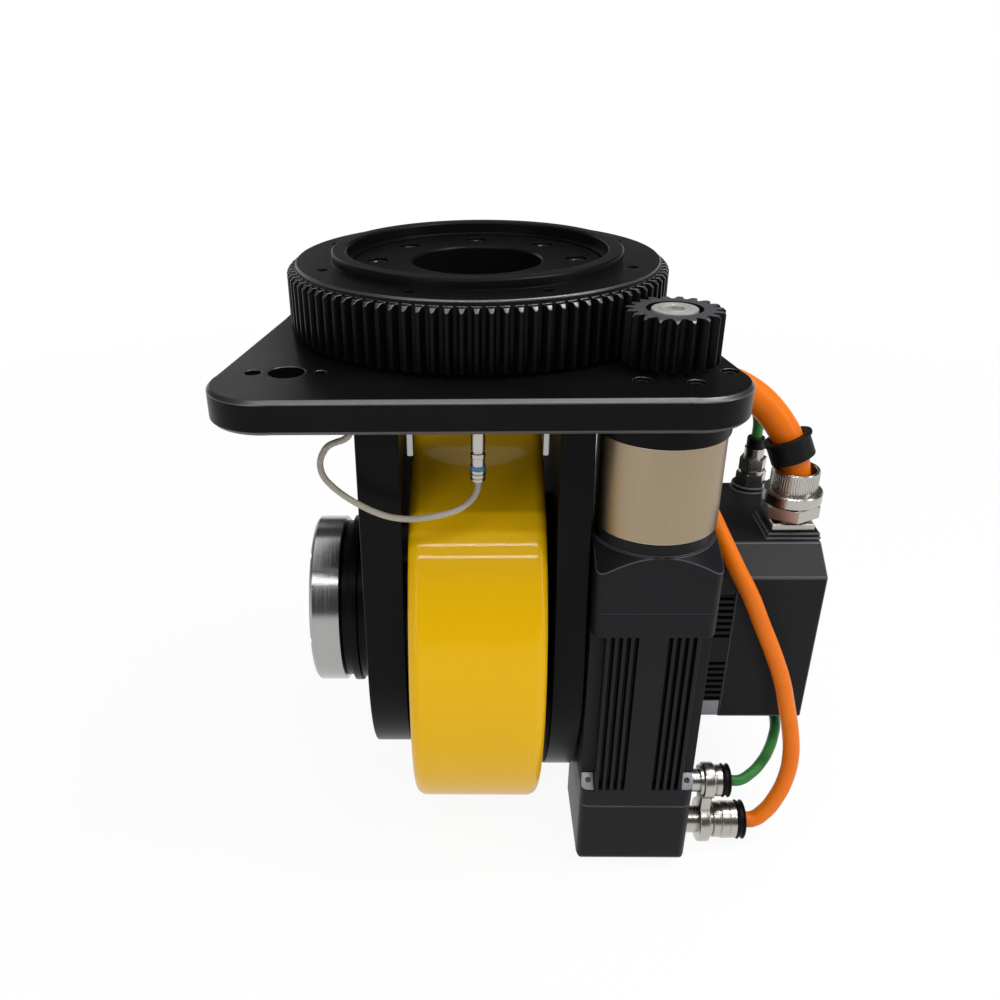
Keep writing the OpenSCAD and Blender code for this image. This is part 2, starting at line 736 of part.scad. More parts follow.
module right_arm() {
    boss_in = hub_bearing_in - hub_boss_lip;
    color(black) difference() {
        union() {
            on_axle(right_arm_in) linear_extrude(right_arm_t) arm_outline(right_arm_r);
            on_axle(boss_in) cylinder(h = right_arm_in - boss_in + through, r = hub_race_r[3] + hub_boss_wall);
        }
        on_axle(boss_in - through) cylinder(h = right_arm_in - boss_in + through, r = hub_race_r[3] + seat);
        on_axle(right_arm_in - through) cylinder(h = right_arm_t + 2 * through, r = planet_ring_d / 2 - ring_shoulder_w);
        on_axle(right_arm_in + ring_shoulder_t) cylinder(h = right_arm_t, r = planet_ring_d / 2 + seat);
        on_axle(right_arm_out - adapter_screw_grip - tip_play) adapter_screw_places()
            cylinder(h = adapter_screw_grip + through, d = adapter_screw_d + 2 * seat);
        arm_screw_holes(right_arm_in + right_arm_t / 2);
        translate([right_arm_in - through, -block_half, plate_bottom - block_h])
            cube([right_arm_t + 2 * through, 2 * block_half, block_h + through]);
    }
}
module cable_block() {
    color(rubber) translate([right_arm_in, -block_half + seat, plate_bottom - block_h + seat])
        cube([block_out - right_arm_in, 2 * (block_half - seat), block_h - seat]);
}

// Outboard bearing
module bearing_flange() {
    last = len(flange_steps) - 1;
    step_l = flange_l / (last + 1);
    color(black) difference() {
        union() {
            for (i = [0 : last]) on_axle(flange_out + i * step_l) cylinder(h = step_l, r = cap_d / 2 + flange_steps[i]);
            on_axle(left_arm_out - join) cylinder(h = spigot_l + join, r = spigot_r);
        }
        on_axle(flange_out - through) cylinder(h = bearing_in - flange_out + through, d = bearing_d + 2 * seat);
        on_axle(bearing_in - through) cylinder(h = spigot_l + 3 * through, r = spigot_bore_r);
        on_axle(flange_out - through) around(cap_screw_count, cap_screw_r)
            cylinder(h = flange_l + 2 * through, d = cap_screw_d + screw_play);
    }
}
module bearing_cap() {
    r = cap_d / 2;
    color(steel) on_axle() difference() {
        rotate_extrude() polygon([[0, cap_out], [r - cap_break, cap_out], [r, cap_out + cap_break],
            [r, flange_out - cap_break / 2], [r - cap_break / 2, flange_out], [bearing_d / 2 - cap_lip, flange_out],
            [bearing_d / 2 - cap_lip, cap_out + cap_wall], [0, cap_out + cap_wall]]);
        translate([0, 0, cap_out - through]) around(cap_screw_count, cap_screw_r) {
            cylinder(h = cap_l + 2 * through, d = cap_screw_d + screw_play);
            cylinder(h = cap_screw_d + head_sink + through, d = head_d(cap_screw_d) + head_play);
        }
    }
}
module bearing_cap_screws() {
    color(dark_grey) on_axle(cap_out + cap_screw_d + head_sink) around(cap_screw_count, cap_screw_r) mirror([0, 0, 1])
        socket_screw(cap_screw_d, cap_l + flange_l - cap_screw_d - head_sink + cap_screw_grip);
}
module axle_ball_groove() {
    translate([0, 0, (bearing_in + bearing_out) / 2]) rotate_extrude() translate([axle_ball_orbit, 0])
        circle(axle_ball_r + ball_play);
}
module axle_outer_race() {
    color(steel) on_axle() difference() {
        tube(bearing_out, bearing_in, bearing_d / 2, bearing_d / 2 - axle_race_wall);
        axle_ball_groove();
    }
}
module axle_inner_race() {
    color(steel) on_axle() difference() {
        tube(bearing_out, bearing_in, bearing_bore / 2 + axle_race_wall, bearing_bore / 2 + seat);
        axle_ball_groove();
    }
}
module axle_balls() {
    color(steel) on_axle((bearing_in + bearing_out) / 2) around(axle_ball_count, axle_ball_orbit) sphere(axle_ball_r);
}
module stub_axle() {
    color(steel) on_axle() difference() {
        union() {
            tube(axle_end, bearing_in + join, bearing_bore / 2);
            tube(bearing_in, axle_flange_out + join, axle_neck_r);
            tube(axle_flange_out, -web_half, hub_flange_r);
        }
        around(hub_screw_count, hub_screw_r) translate([0, 0, axle_flange_out - through])
            cylinder(h = axle_flange_t + 2 * through, d = hub_screw_d + screw_play);
    }
}
module axle_nut() {
    color(steel) on_axle(bearing_out - nut_l) difference() {
        tube(0, nut_l, bearing_bore / 2 + nut_wall, bearing_bore / 2 + seat);
        around(nut_slots, bearing_bore / 2 + nut_wall) translate([0, 0, nut_l / 2])
            cube([nut_slot, nut_slot, nut_l + 2 * through], center = true);
    }
}

// Wheel
module tyre() {
    outer = wheel_d / 2;
    half = wheel_w / 2;
    c = tyre_round;
    color(yellow) on_axle() rotate_extrude() union() {
        translate([rim_r, -half]) square([tyre_t - c, wheel_w]);
        translate([rim_r, c - half]) square([tyre_t, wheel_w - 2 * c]);
        for (s = [-1, 1]) translate([outer - c, s * (half - c)]) circle(c);
    }
}
module wheel_hub() {
    half = wheel_w / 2 - rim_side;
    inner = rim_r - rim_t;
    color(dark_grey) on_axle() difference() {
        rotate_extrude() polygon([[web_bore_r, -web_half], [inner, -web_half], [inner, -half], [rim_r - seat, -half],
            [rim_r - seat, half], [inner, half], [inner, web_half], [web_bore_r, web_half]]);
        translate([0, 0, -web_half - through]) {
            around(hub_screw_count, hub_screw_r)
                cylinder(h = 2 * web_half + 2 * through, d = hub_screw_d + screw_play);
            around(web_hole_count, (inner + hub_flange_r) / 2, 180 / web_hole_count)
                cylinder(h = 2 * web_half + 2 * through, d = web_hole_d);
        }
    }
}
module hub_screws() {
    color(steel) on_axle(axle_flange_out) around(hub_screw_count, hub_screw_r) mirror([0, 0, 1])
        socket_screw(hub_screw_d, web_half - axle_flange_out + hub_screw_grip);
}

// Drive planetary stage, in the right arm
module drive_carrier() {
    color(steel) on_axle() difference() {
        union() {
            tube(web_half, hub_bearing_in, hub_race_r[0] + carrier_lip);
            tube(hub_bearing_in - join, carrier_end, hub_race_r[0]);
            around(3, planet_orbit) tube(carrier_end - join, planet_in + planet_face + join, planet_pin_r);
        }
        around(hub_screw_count, hub_screw_r) translate([0, 0, web_half - through])
            cylinder(h = hub_screw_grip + tip_play + through, d = hub_screw_d + 2 * seat);
        translate([0, 0, carrier_floor]) cylinder(h = carrier_end, r = planet_orbit - planet_pin_r - carrier_lip);
    }
}
module hub_ball_groove() {
    translate([0, 0, (hub_bearing_in + right_arm_in) / 2]) rotate_extrude() translate([hub_ball_orbit, 0])
        circle(hub_ball_r + ball_play);
}
module hub_outer_race() {
    color(steel) on_axle() difference() {
        tube(hub_bearing_in, right_arm_in, hub_race_r[3], hub_race_r[2]);
        hub_ball_groove();
    }
}
module hub_inner_race() {
    color(steel) on_axle() difference() {
        tube(hub_bearing_in, right_arm_in, hub_race_r[1], hub_race_r[0] + seat);
        hub_ball_groove();
    }
}
module hub_balls() {
    color(steel) on_axle((hub_bearing_in + right_arm_in) / 2) around(hub_ball_count, hub_ball_orbit)
        sphere(hub_ball_r, $fn = 48);
}
module drive_ring_gear() {
    m = planet_module;
    r = planet_ring_pitch_r;
    color(steel) on_axle(right_arm_in + ring_shoulder_t) difference() {
        cylinder(h = right_arm_t - ring_shoulder_t, d = planet_ring_d);
        translate([0, 0, -through]) linear_extrude(right_arm_t + 2 * through)
            gear_outline(planet_ring_teeth, m, 0, -flank_play, r + dedendum * m, r - m);
    }
}
module drive_planet(i) {
    m = planet_module;
    r = m * planet_teeth / 2;
    color(steel) on_axle(planet_in) rotate(i * 120) translate([planet_orbit, 0, 0]) difference() {
        linear_extrude(planet_face)
            gear_outline(planet_teeth, m, 0, flank_play, r + m, r - dedendum * m, 180 + 180 / planet_teeth);
        translate([0, 0, -through]) cylinder(h = planet_face + 2 * through, r = planet_pin_r + running);
    }
}
module drive_planet_1() { drive_planet(0); }
module drive_planet_2() { drive_planet(1); }
module drive_planet_3() { drive_planet(2); }
module drive_rotor() {
    m = planet_module;
    r = m * sun_teeth / 2;
    color(steel) on_axle() {
        translate([0, 0, planet_in]) linear_extrude(planet_face)
            gear_outline(sun_teeth, m, 0, flank_play, r + m, r - dedendum * m);
        tube(planet_in + planet_face - join, encoder_end + encoder_tail, rotor_shaft_r);
        tube(drive_body_in + rotor_wall + rotor_air, drive_cap_in - rotor_wall - rotor_air, rotor_r);
        tube(encoder_end - encoder_t, encoder_end, encoder_r);
    }
}
module drive_motor_adapter() {
    flat = 2 * adapter_flange_r;
    color(black) on_axle(right_arm_out) difference() {
        union() {
            tube(0, adapter_flange_l, adapter_flange_r);
            tube(0, drive_adapter_l, drive_barrel_r);
        }
        translate([-flat - drive_barrel_r, -flat, -through]) cube([flat, 2 * flat, drive_adapter_l + 2 * through]);
        translate([0, 0, -through]) {
            cylinder(h = drive_adapter_l + 2 * through, r = rotor_hole_r);
            adapter_screw_places() cylinder(h = adapter_flange_l + 2 * through, d = adapter_screw_d + screw_play);
        }
    }
}
module drive_adapter_screws() {
    color(dark_grey) on_axle(right_arm_out + adapter_flange_l) adapter_screw_places()
        socket_screw(adapter_screw_d, adapter_flange_l + adapter_screw_grip);
}
module drive_motor_body() {
    color(dark_grey) on_axle() difference() {
        union() {
            tube(drive_body_in, drive_fin_in + join, drive_barrel_r);
            translate([0, 0, drive_fin_in]) linear_extrude(drive_fin_l)
                finned_section(drive_w, 2 * drive_fin_half, drive_notch, drive_fin_band, drive_fin_count,
                    drive_fin_depth);
        }
        translate([0, 0, drive_body_in - through]) cylinder(h = drive_cap_in, r = rotor_shaft_r + running);
        translate([0, 0, drive_body_in + rotor_wall])
            cylinder(h = drive_cap_in - drive_body_in - 2 * rotor_wall, r = rotor_r + rotor_air);
    }
}
module drive_motor_end_cap() {
    color(dark_grey) {
        on_axle() difference() {
            translate([0, 0, drive_cap_in]) linear_extrude(drive_cap_l)
                cut_square(drive_w, drive_cut_flat, drive_cut_side);
            tube(drive_cap_in - through, encoder_end + encoder_tail + encoder_room, encoder_r + encoder_room);
        }
        translate(concat(power_at, drive_top + (pad_h - join) / 2)) cube([pad_w, pad_w, pad_h + join], center = true);
        translate(concat(encoder_at, drive_top - join)) cylinder(h = pad_h + join, r = encoder_pad_r);
    }
}
module motor_foot(size, h) {
    difference() {
        translate([-size / 2, -size / 2, 0]) cube([size, size, h]);
        translate([0, 0, h - foot_socket]) cylinder(h = foot_socket + through, d = size * 0.6, $fn = 6);
    }
}
module drive_motor_bolts() {
    s = drive_notch - foot_play;
    color(steel) on_axle(drive_cap_in) for (y = [-1, 1], z = [-1, 1])
        translate([y * (drive_half - drive_notch / 2), z * (drive_fin_half - drive_notch / 2)])
            mirror([0, 0, 1]) motor_foot(s, foot_h);
}

// Connectors and cables
module drive_power_connector() {
    z0 = drive_top + pad_h;
    color(nickel) translate([power_at[0], power_at[1], 0]) difference() {
        union() {
            translate([-power_base_w / 2, -power_base_w / 2, z0]) cube([power_base_w, power_base_w, power_base_h]);
            translate([0, 0, z0 + join]) cylinder(h = power_nut_top, r = power_nut_r, $fn = 6);
            tube(z0 + power_nut_top, z0 + power_ring_top, power_nut_r);
            tube(z0 + power_nut_top, z0 + power_sleeve_top, power_sleeve_r);
        }
        translate([0, 0, z0 + power_floor]) cylinder(h = power_sleeve_top, r = power_bore_r);
    }
}
function height_before(steps, i) = i == 0 ? 0 : steps[i - 1][0] + height_before(steps, i - 1);
module drive_encoder_connector() {
    color(nickel) translate(concat(encoder_at, drive_top + pad_h)) for (i = [0 : len(encoder_steps) - 1])
        translate([0, 0, height_before(encoder_steps, i)])
            cylinder(h = encoder_steps[i][0], r = encoder_steps[i][1], $fn = encoder_steps[i][2]);
}
// Moves the children to a socket of the steering motor: their z runs along +X
module on_socket(x, z) {
    translate([steer_side + x, steer_socket_y, z]) rotate([0, 90, 0]) children();
}
// Rubber ends on the connectors
module cable_seals() {
    color(rubber) {
        translate(concat(encoder_at, drive_top + pad_h + height_before(encoder_steps, 4)))
            cylinder(h = encoder_seal_h, r = encoder_seal_r);
        on_socket(upper_socket_l, upper_socket_z) cylinder(h = seal_l, r = upper_socket_r + seal_rim);
        on_socket(lower_socket_l, lower_socket_z) cylinder(h = seal_l, r = lower_socket_r + seal_rim);
    }
}
module socket_body(z, r, l) {
    on_socket(0, z) {
        cylinder(h = l / 3, r = 0.9 * r);
        translate([0, 0, l / 3]) cylinder(h = l / 3, r = r + seal_rim);
        translate([0, 0, 2 * l / 3]) cylinder(h = l / 3, r = r);
        translate([0, 0, socket_plate_in]) cylinder(h = socket_plate_t, r = r + socket_plate_rim);
    }
}
module steer_connectors() {
    color(nickel) {
        socket_body(upper_socket_z, upper_socket_r, upper_socket_l);
        socket_body(lower_socket_z, lower_socket_r, lower_socket_l);
        translate([steer_side + socket_plate_in, steer_socket_y - socket_plate_half, lower_socket_z])
            cube([socket_plate_t, 2 * socket_plate_half, upper_socket_z - lower_socket_z]);
    }
}
module cable_collar() {
    way = unit(power_route[3] - power_route[2]);
    color(rubber) translate((power_route[2] + power_route[3]) / 2)
        rotate([0, acos(way[2]), atan2(way[1], way[0])]) difference() {
            union() {
                tube(-collar_l / 2, collar_l / 2, collar_r);
                tube(collar_l / 2 - collar_lip_l, collar_l / 2, collar_lip_r);
            }
            cylinder(h = collar_l + 2 * through, r = power_r + collar_play, center = true);
        }
}
module drive_power_cable() { color(orange) swept_tube(power_route, power_r, 12); }
module drive_encoder_cable() { color(green) swept_tube(drive_encoder_route, encoder_cable_r, 8); }
module steer_power_cable() { color(orange) swept_tube(steer_power_route, steer_power_r, 10); }
module steer_encoder_cable() { color(green) swept_tube(steer_encoder_route, encoder_cable_r, 8, [1, 1, -2]); }

// Steering gearmotor
module steer_nose() {
    color(black) on_pinion() difference() {
        tube(nose_bottom, plate_bottom, nose_d / 2, shaft_d / 2 + running);
        gearbox_screw_places() translate([0, 0, plate_bottom - gearbox_screw_grip - tip_play])
            cylinder(h = gearbox_screw_grip + 2 * through, d = gearbox_screw_d + 2 * seat);
    }
}
module steer_gearbox_ring() {
    color(champagne) on_pinion() difference() {
        tube(gearbox_bottom, nose_bottom, gearbox_d / 2);
        translate([0, 0, nose_bottom - shaft_hole_l]) cylinder(h = shaft_hole_l + through, r = shaft_d / 2 + running);
    }
}
module steer_motor_adapter() {
    arch_r = neck_r + arch_ledge;
    edge_z = neck_bottom - arch_slope * (steer_w - arch_r);
    color(dark_grey) on_pinion() {
        tube(neck_bottom - join, gearbox_bottom, neck_r);
        intersection() {
            translate([0, 0, adapter_bottom]) linear_extrude(adapter_h) rounded_square(steer_w, steer_corner_r);
            rotate_extrude() polygon([[0, adapter_bottom], [steer_w, adapter_bottom], [steer_w, edge_z],
                [arch_r, neck_bottom], [0, neck_bottom]]);
        }
    }
}
module steer_motor_body() {
    color(dark_grey) on_pinion() {
        translate([0, 0, steer_flange_bottom]) linear_extrude(steer_flange_h) rounded_square(steer_w, steer_corner_r);
        translate([0, 0, steer_fin_bottom]) linear_extrude(steer_fin_h)
            finned_section(steer_w, steer_w, steer_notch, steer_fin_band, steer_fin_count, steer_fin_depth);
        translate([0, 0, steer_rear_bottom]) linear_extrude(steer_rear_h) rounded_square(steer_w, steer_corner_r);
    }
}
module steer_motor_end_cap() {
    c = steer_cap_break;
    h = steer_half;
    module side_profile() {
        polygon([[-h, steer_rear_bottom], [-h, steer_bottom + c], [c - h, steer_bottom], [h - c, steer_bottom],
            [h, steer_bottom + c], [h, steer_rear_bottom]]);
    }
    color(dark_grey) on_pinion() intersection() {
        translate([0, 0, steer_bottom]) linear_extrude(steer_cap_h) rounded_square(steer_w, steer_corner_r);
        rotate([90, 0, 0]) linear_extrude(2 * steer_w, center = true) side_profile();
        rotate([90, 0, 90]) linear_extrude(2 * steer_w, center = true) side_profile();
    }
}
module steer_motor_bolts() {
    s = steer_notch - foot_play;
    color(steel) on_pinion(steer_fin_bottom) for (x = [-1, 1], y = [-1, 1])
        translate([x, y] * (steer_half - steer_notch / 2)) motor_foot(s, foot_h);
}

// Pinion and its shaft
module pinion() {
    top = -pinion_drop;
    color(black) on_pinion() difference() {
        chamfered_gear(top - pinion_face, top, pinion_tip_r, pinion_break)
            gear_outline(pinion_teeth, gear_module, profile_shift, flank_play, pinion_tip_r, pinion_root_r,
                pinion_turn + 180 + 180 / pinion_teeth);
        translate([0, 0, top - pinion_face - through]) cylinder(h = pinion_face + 2 * through, r = shaft_d / 2 + seat);
        translate([0, 0, top - recess_h]) cylinder(h = recess_h + through, r = recess_r);
    }
}
module pinion_washer() {
    color(steel) on_pinion(-pinion_drop - recess_h) tube(0, washer_t, recess_r - washer_rim, washer_bore_r);
}
module pinion_bolt() {
    color(steel) on_pinion(-pinion_drop - recess_h + washer_t) difference() {
        union() {
            cylinder(h = bolt_head_h, r = bolt_head_r);
            tube(-washer_t - bolt_grip, join, bolt_d / 2);
        }
        translate([0, 0, bolt_head_h - bolt_socket_h]) cylinder(h = bolt_head_h, d = socket_d(bolt_d), $fn = 6);
    }
}
module pinion_shaft() {
    top = -pinion_drop - recess_h;
    color(steel) on_pinion() difference() {
        tube(nose_bottom - shaft_sink, top, shaft_d / 2);
        tube(top - bolt_hole_l, top + through, bolt_d / 2 + seat);
    }
}
module gearbox_screws() {
    color(dark_grey) on_pinion(plate_top - gearbox_head_sink) gearbox_screw_places()
        socket_screw(gearbox_screw_d, plate_t - gearbox_head_sink + gearbox_screw_grip);
}

// Home sensor under the ring gear
module home_sensor() {
    r = sensor_d / 2;
    color(nickel) translate([0, -sensor_y, 0]) difference() {
        union() {
            tube(sensor_low, plate_top - sensor_head_gap, r);
            tube(light_top, light_top + light_collar_h, r + light_collar_rim);
        }
        tube(light_top - light_h, light_top, r + light_collar_rim, r - light_depth);
    }
}
module sensor_light_ring() {
    color([0.1, 0.5, 0.9]) translate([0, -sensor_y, light_top - light_h])
        tube(seat, light_h - seat, sensor_d / 2 + light_rim, sensor_d / 2 - light_depth + seat);
}
module sensor_bush() {
    color(rubber) translate(concat(bush_at, 0)) {
        tube(plate_bottom - bush_drop, plate_bottom, bush_d / 2 + bush_rim);
        tube(plate_bottom - bush_join, plate_bottom + bush_sink, bush_d / 2);
    }
}
module sensor_cable() { color(lead_grey) swept_tube(sensor_route, lead_r, 8); }

ring_gear();
slew_balls();
inner_ring();
inner_ring_screws();
turntable_plate();
left_arm();
right_arm();
arm_screws();
bearing_flange();
bearing_cap();
bearing_cap_screws();
axle_outer_race();
axle_balls();
axle_inner_race();
stub_axle();
axle_nut();
tyre();
wheel_hub();
hub_screws();
drive_carrier();
hub_outer_race();
hub_balls();
hub_inner_race();
drive_ring_gear();
drive_planet_1();
drive_planet_2();
drive_planet_3();
drive_rotor();
drive_motor_adapter();
drive_adapter_screws();
drive_motor_body();
drive_motor_end_cap();
drive_motor_bolts();
drive_power_connector();
drive_encoder_connector();
cable_seals();
cable_collar();
cable_block();
drive_power_cable();
drive_encoder_cable();
steer_nose();
steer_gearbox_ring();
steer_motor_adapter();
steer_motor_body();
steer_motor_end_cap();
steer_motor_bolts();
steer_connectors();
steer_power_cable();
steer_encoder_cable();
pinion();
pinion_washer();
pinion_bolt();
pinion_shaft();
gearbox_screws();
home_sensor();
sensor_light_ring();
sensor_bush();
sensor_cable();
plate_studs();
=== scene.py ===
"""Looks of a steered drive wheel unit: slewing ring, turntable plate, yellow wheel, drive and steering motors."""

import json
import math

import bmesh
import bpy
from mathutils import Matrix, Vector

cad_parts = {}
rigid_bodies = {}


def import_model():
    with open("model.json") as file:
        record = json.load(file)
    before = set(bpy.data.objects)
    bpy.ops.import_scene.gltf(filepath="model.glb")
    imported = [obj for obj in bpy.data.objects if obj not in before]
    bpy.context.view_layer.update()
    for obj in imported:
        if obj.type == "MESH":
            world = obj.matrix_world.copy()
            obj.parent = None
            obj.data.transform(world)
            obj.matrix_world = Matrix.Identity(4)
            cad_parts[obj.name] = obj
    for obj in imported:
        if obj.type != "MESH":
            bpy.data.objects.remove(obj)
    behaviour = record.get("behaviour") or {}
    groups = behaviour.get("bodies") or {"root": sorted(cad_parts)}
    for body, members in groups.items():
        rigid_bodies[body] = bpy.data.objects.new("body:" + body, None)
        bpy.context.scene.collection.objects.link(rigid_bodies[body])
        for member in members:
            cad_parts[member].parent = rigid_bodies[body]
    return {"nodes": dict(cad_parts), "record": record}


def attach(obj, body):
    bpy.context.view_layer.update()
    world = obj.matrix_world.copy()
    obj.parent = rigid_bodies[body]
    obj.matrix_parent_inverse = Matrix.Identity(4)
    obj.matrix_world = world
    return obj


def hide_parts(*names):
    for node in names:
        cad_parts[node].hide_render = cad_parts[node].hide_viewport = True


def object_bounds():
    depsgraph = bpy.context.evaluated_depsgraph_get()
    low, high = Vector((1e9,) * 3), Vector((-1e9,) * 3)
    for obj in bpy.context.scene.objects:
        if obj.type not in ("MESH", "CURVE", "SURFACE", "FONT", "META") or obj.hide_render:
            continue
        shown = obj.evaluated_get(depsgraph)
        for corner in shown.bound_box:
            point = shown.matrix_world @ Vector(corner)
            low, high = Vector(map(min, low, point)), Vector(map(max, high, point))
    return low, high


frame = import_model()
cad_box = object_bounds()

MM = 0.001

# Places, in mm
AXLE_Z = -198
PINION_X, PINION_Y = 85.5, -72.4
GLAND_X, GLAND_Y, GLAND_Z = 169, -20, -138.6
SOCKET_X, SOCKET_Y = 115.5, -80.4
LOWER_SOCKET_Z, UPPER_SOCKET_Z = -298, -269
SENSOR_Y = -85


# Node graphs
class Wire:
    """A node's output. Arithmetic on it adds Math nodes to its graph."""

    def __init__(self, graph, socket):
        self.graph, self.socket = graph, socket

    def math(self, operation, *values):
        return self.graph.node("ShaderNodeMath", {"operation": operation}, values)

    def __add__(self, other):
        return self.math("ADD", self, other)

    def __radd__(self, other):
        return self.math("ADD", other, self)

    def __sub__(self, other):
        return self.math("SUBTRACT", self, other)

    def __rsub__(self, other):
        return self.math("SUBTRACT", other, self)

    def __mul__(self, other):
        return self.math("MULTIPLY", self, other)

    def __rmul__(self, other):
        return self.math("MULTIPLY", other, self)

    def __truediv__(self, other):
        return self.math("DIVIDE", self, other)

    def __rtruediv__(self, other):
        return self.math("DIVIDE", other, self)

    def clamped(self):
        return self.graph.node("ShaderNodeClamp", {}, [self])


class Graph:
    """A node tree in the making."""

    def __init__(self, tree):
        self.tree = tree

    def node(self, kind, settings=None, sockets=(), out=0):
        """Adds a node: its settings first, then the values or links of its sockets."""
        made = self.tree.nodes.new(kind)
        for key, value in (settings or {}).items():
            if key == "stops":
                while len(made.color_ramp.elements) < len(value):
                    made.color_ramp.elements.new(0.5)
                for element, (place, shade) in zip(made.color_ramp.elements, value):
                    element.position, element.color = place, (shade, shade, shade, 1)
            else:
                setattr(made, key, value)
        for key, value in sockets.items() if isinstance(sockets, dict) else enumerate(sockets):
            self.set(made.inputs[key], value)
        return Wire(self, made.outputs[out])

    def set(self, socket, value):
        if isinstance(value, Wire):
            self.tree.links.new(value.socket, socket)
        else:
            socket.default_value = value


class Finish(Graph):
    """A material that ends in one Principled shader."""

    def __init__(self, name, **plain):
        self.material = bpy.data.materials.new(name)
        self.material.use_nodes = True
        super().__init__(self.material.node_tree)
        self.shader = self.tree.nodes["Principled BSDF"]
        for key, value in plain.items():
            self.give(key, value)

    def give(self, key, value):
        """Sets a socket of the shader, named in lower case with underscores."""
        named = {s.name.lower().replace(" ", "_"): s for s in self.shader.inputs}
        self.set(named[key], (*value, 1) if isinstance(value, tuple) else value)

    def place(self):
        return self.node("ShaderNodeTexCoord", out="Object")

    def parts(self, vector):
        """The three numbers of a vector."""
        split = self.node("ShaderNodeSeparateXYZ", {}, [vector]).socket.node
        return [Wire(self, s) for s in split.outputs]

    def noise(self, scale, detail=2.0, vector=None, stretch=None):
        vector = vector or self.place()
        if stretch:
            vector = self.node("ShaderNodeMapping", {}, {"Vector": vector, "Scale": stretch})
        return self.node("ShaderNodeTexNoise", {}, {"Vector": vector, "Scale": scale, "Detail": detail})

    def ramp(self, value, *stops):
        return self.node("ShaderNodeValToRGB", {"stops": stops}, [value])

    def blend(self, share, a, b):
        """A colour from a to b."""
        mixed = self.node("ShaderNodeMix", {"data_type": "RGBA"}, {0: share}, 2)
        for index, colour in ((6, a), (7, b)):
            self.set(mixed.socket.node.inputs[index], (*colour, 1) if isinstance(colour, tuple) else colour)
        return mixed

    def bump(self, height, strength, depth):
        raised = self.node("ShaderNodeBump", {}, {"Strength": strength, "Distance": depth, "Height": height})
        self.give("normal", raised)


# Finishes
def scaled(colour, factor, more=0.0):
    return tuple(min(1, c * factor + more) for c in colour)


def anodised(name, colour, roughness, grain=900, level=0.4):
    """Blasted and anodised metal: a fine even grain, with faint broad handling marks."""
    f = Finish(name, specular_ior_level=level)
    fine, broad = f.noise(grain, 2), f.noise(22, 4)
    marks = f.ramp(broad, (0.35, 0), (0.75, 1))
    f.give("base_color", f.blend(fine * 0.5 + marks * 0.5, colour, scaled(colour, 1.35, 0.002)))
    f.give("roughness", roughness + (fine - 0.5) * 0.12 + marks * 0.05)
    f.bump(fine, 0.12, 0.00004)
    return f.material


def turned(name, colour, roughness):
    """Metal turned on a lathe about the axle: fine rings that follow the tool."""
    f = Finish(name, metallic=1.0)
    x, y, z = f.parts(f.place())
    side = z - AXLE_Z * MM
    radius = f.node("ShaderNodeMath", {"operation": "SQRT"}, [y * y + side * side])
    along = f.node("ShaderNodeCombineXYZ", {}, [x, radius, 0.0])
    rings, bands = f.noise(5200, 1, along), f.noise(260, 2, along)
    f.give("base_color", f.blend(bands, scaled(colour, 0.92), colour))
    f.give("roughness", roughness + (rings - 0.5) * 0.1 + (bands - 0.5) * 0.05)
    f.bump(rings, 0.5, 0.00005)
    return f.material


def brushed(name, colour, roughness, stretch, metal=1.0):
    """Metal with a fine grain along one direction."""
    f = Finish(name, metallic=metal)
    lines, broad = f.noise(700, 3, stretch=stretch), f.noise(30, 3)
    f.give("base_color", f.blend(lines * 0.6 + broad * 0.4, scaled(colour, 0.88), scaled(colour, 1.08)))
    f.give("roughness", roughness + (lines - 0.5) * 0.14 + (broad - 0.5) * 0.06)
    f.bump(lines, 0.08, 0.00003)
    return f.material


def plated(name, colour, roughness):
    """Nickel or zinc plate: bright, a little cloudy, with fine scratches."""
    f = Finish(name, metallic=1.0)
    cloud, scratch = f.noise(160, 4), f.noise(1500, 2, stretch=(1, 1, 0.1))
    f.give("base_color", f.blend(cloud, scaled(colour, 0.9), colour))
    f.give("roughness", roughness + (cloud - 0.4) * 0.05 + (scratch - 0.5) * 0.02)
    return f.material


def cast_urethane(name, colour, shade):
    """Cast polyurethane: a deep even colour under a glossy skin, with slight flow marks and scuffs."""
    f = Finish(name, specular_ior_level=0.06, coat_roughness=0.05)
    flow, scuff = f.noise(14, 3), f.noise(420, 5)
    wear = f.ramp(scuff, (0.5, 0), (0.72, 1))
    f.give("base_color", f.blend(flow, shade, colour))
    f.give("roughness", 0.34 + wear * 0.08)
    f.give("coat_weight", 0.28 - wear * 0.08)
    f.bump(flow, 0.03, 0.0003)
    return f.material


def moulded(name, colour, roughness, level):
    """Matt moulded rubber."""
    f = Finish(name, specular_ior_level=level)
    fine, broad = f.noise(1300, 3), f.noise(60, 3)
    f.give("base_color", f.blend(broad, colour, scaled(colour, 1.5, 0.001)))
    f.give("roughness", roughness + (fine - 0.5) * 0.2)
    f.bump(fine, 0.2, 0.00006)
    return f.material


def jacket(name, colour, shade):
    """Extruded cable jacket: satin, with a slight waviness and dull rubbed patches."""
    f = Finish(name, specular_ior_level=0.22)
    wave, rub = f.noise(55, 3), f.noise(240, 4)
    f.give("base_color", f.blend(f.ramp(wave, (0.3, 0), (0.7, 1)), shade, colour))
    f.give("roughness", 0.38 + (rub - 0.5) * 0.25)
    f.bump(wave * 0.7 + rub * 0.3, 0.1, 0.0002)
    return f.material


def lens(name, colour):
    """Clear blue ring that glows a little."""
    f = Finish(name, emission_strength=0.1, coat_weight=0.6)
    cloud = f.noise(500, 2)
    f.give("base_color", f.blend(cloud, scaled(colour, 0.7), colour))
    f.give("emission_color", f.blend(cloud, colour, scaled(colour, 1.3)))
    f.give("roughness", 0.2 + cloud * 0.1)
    return f.material


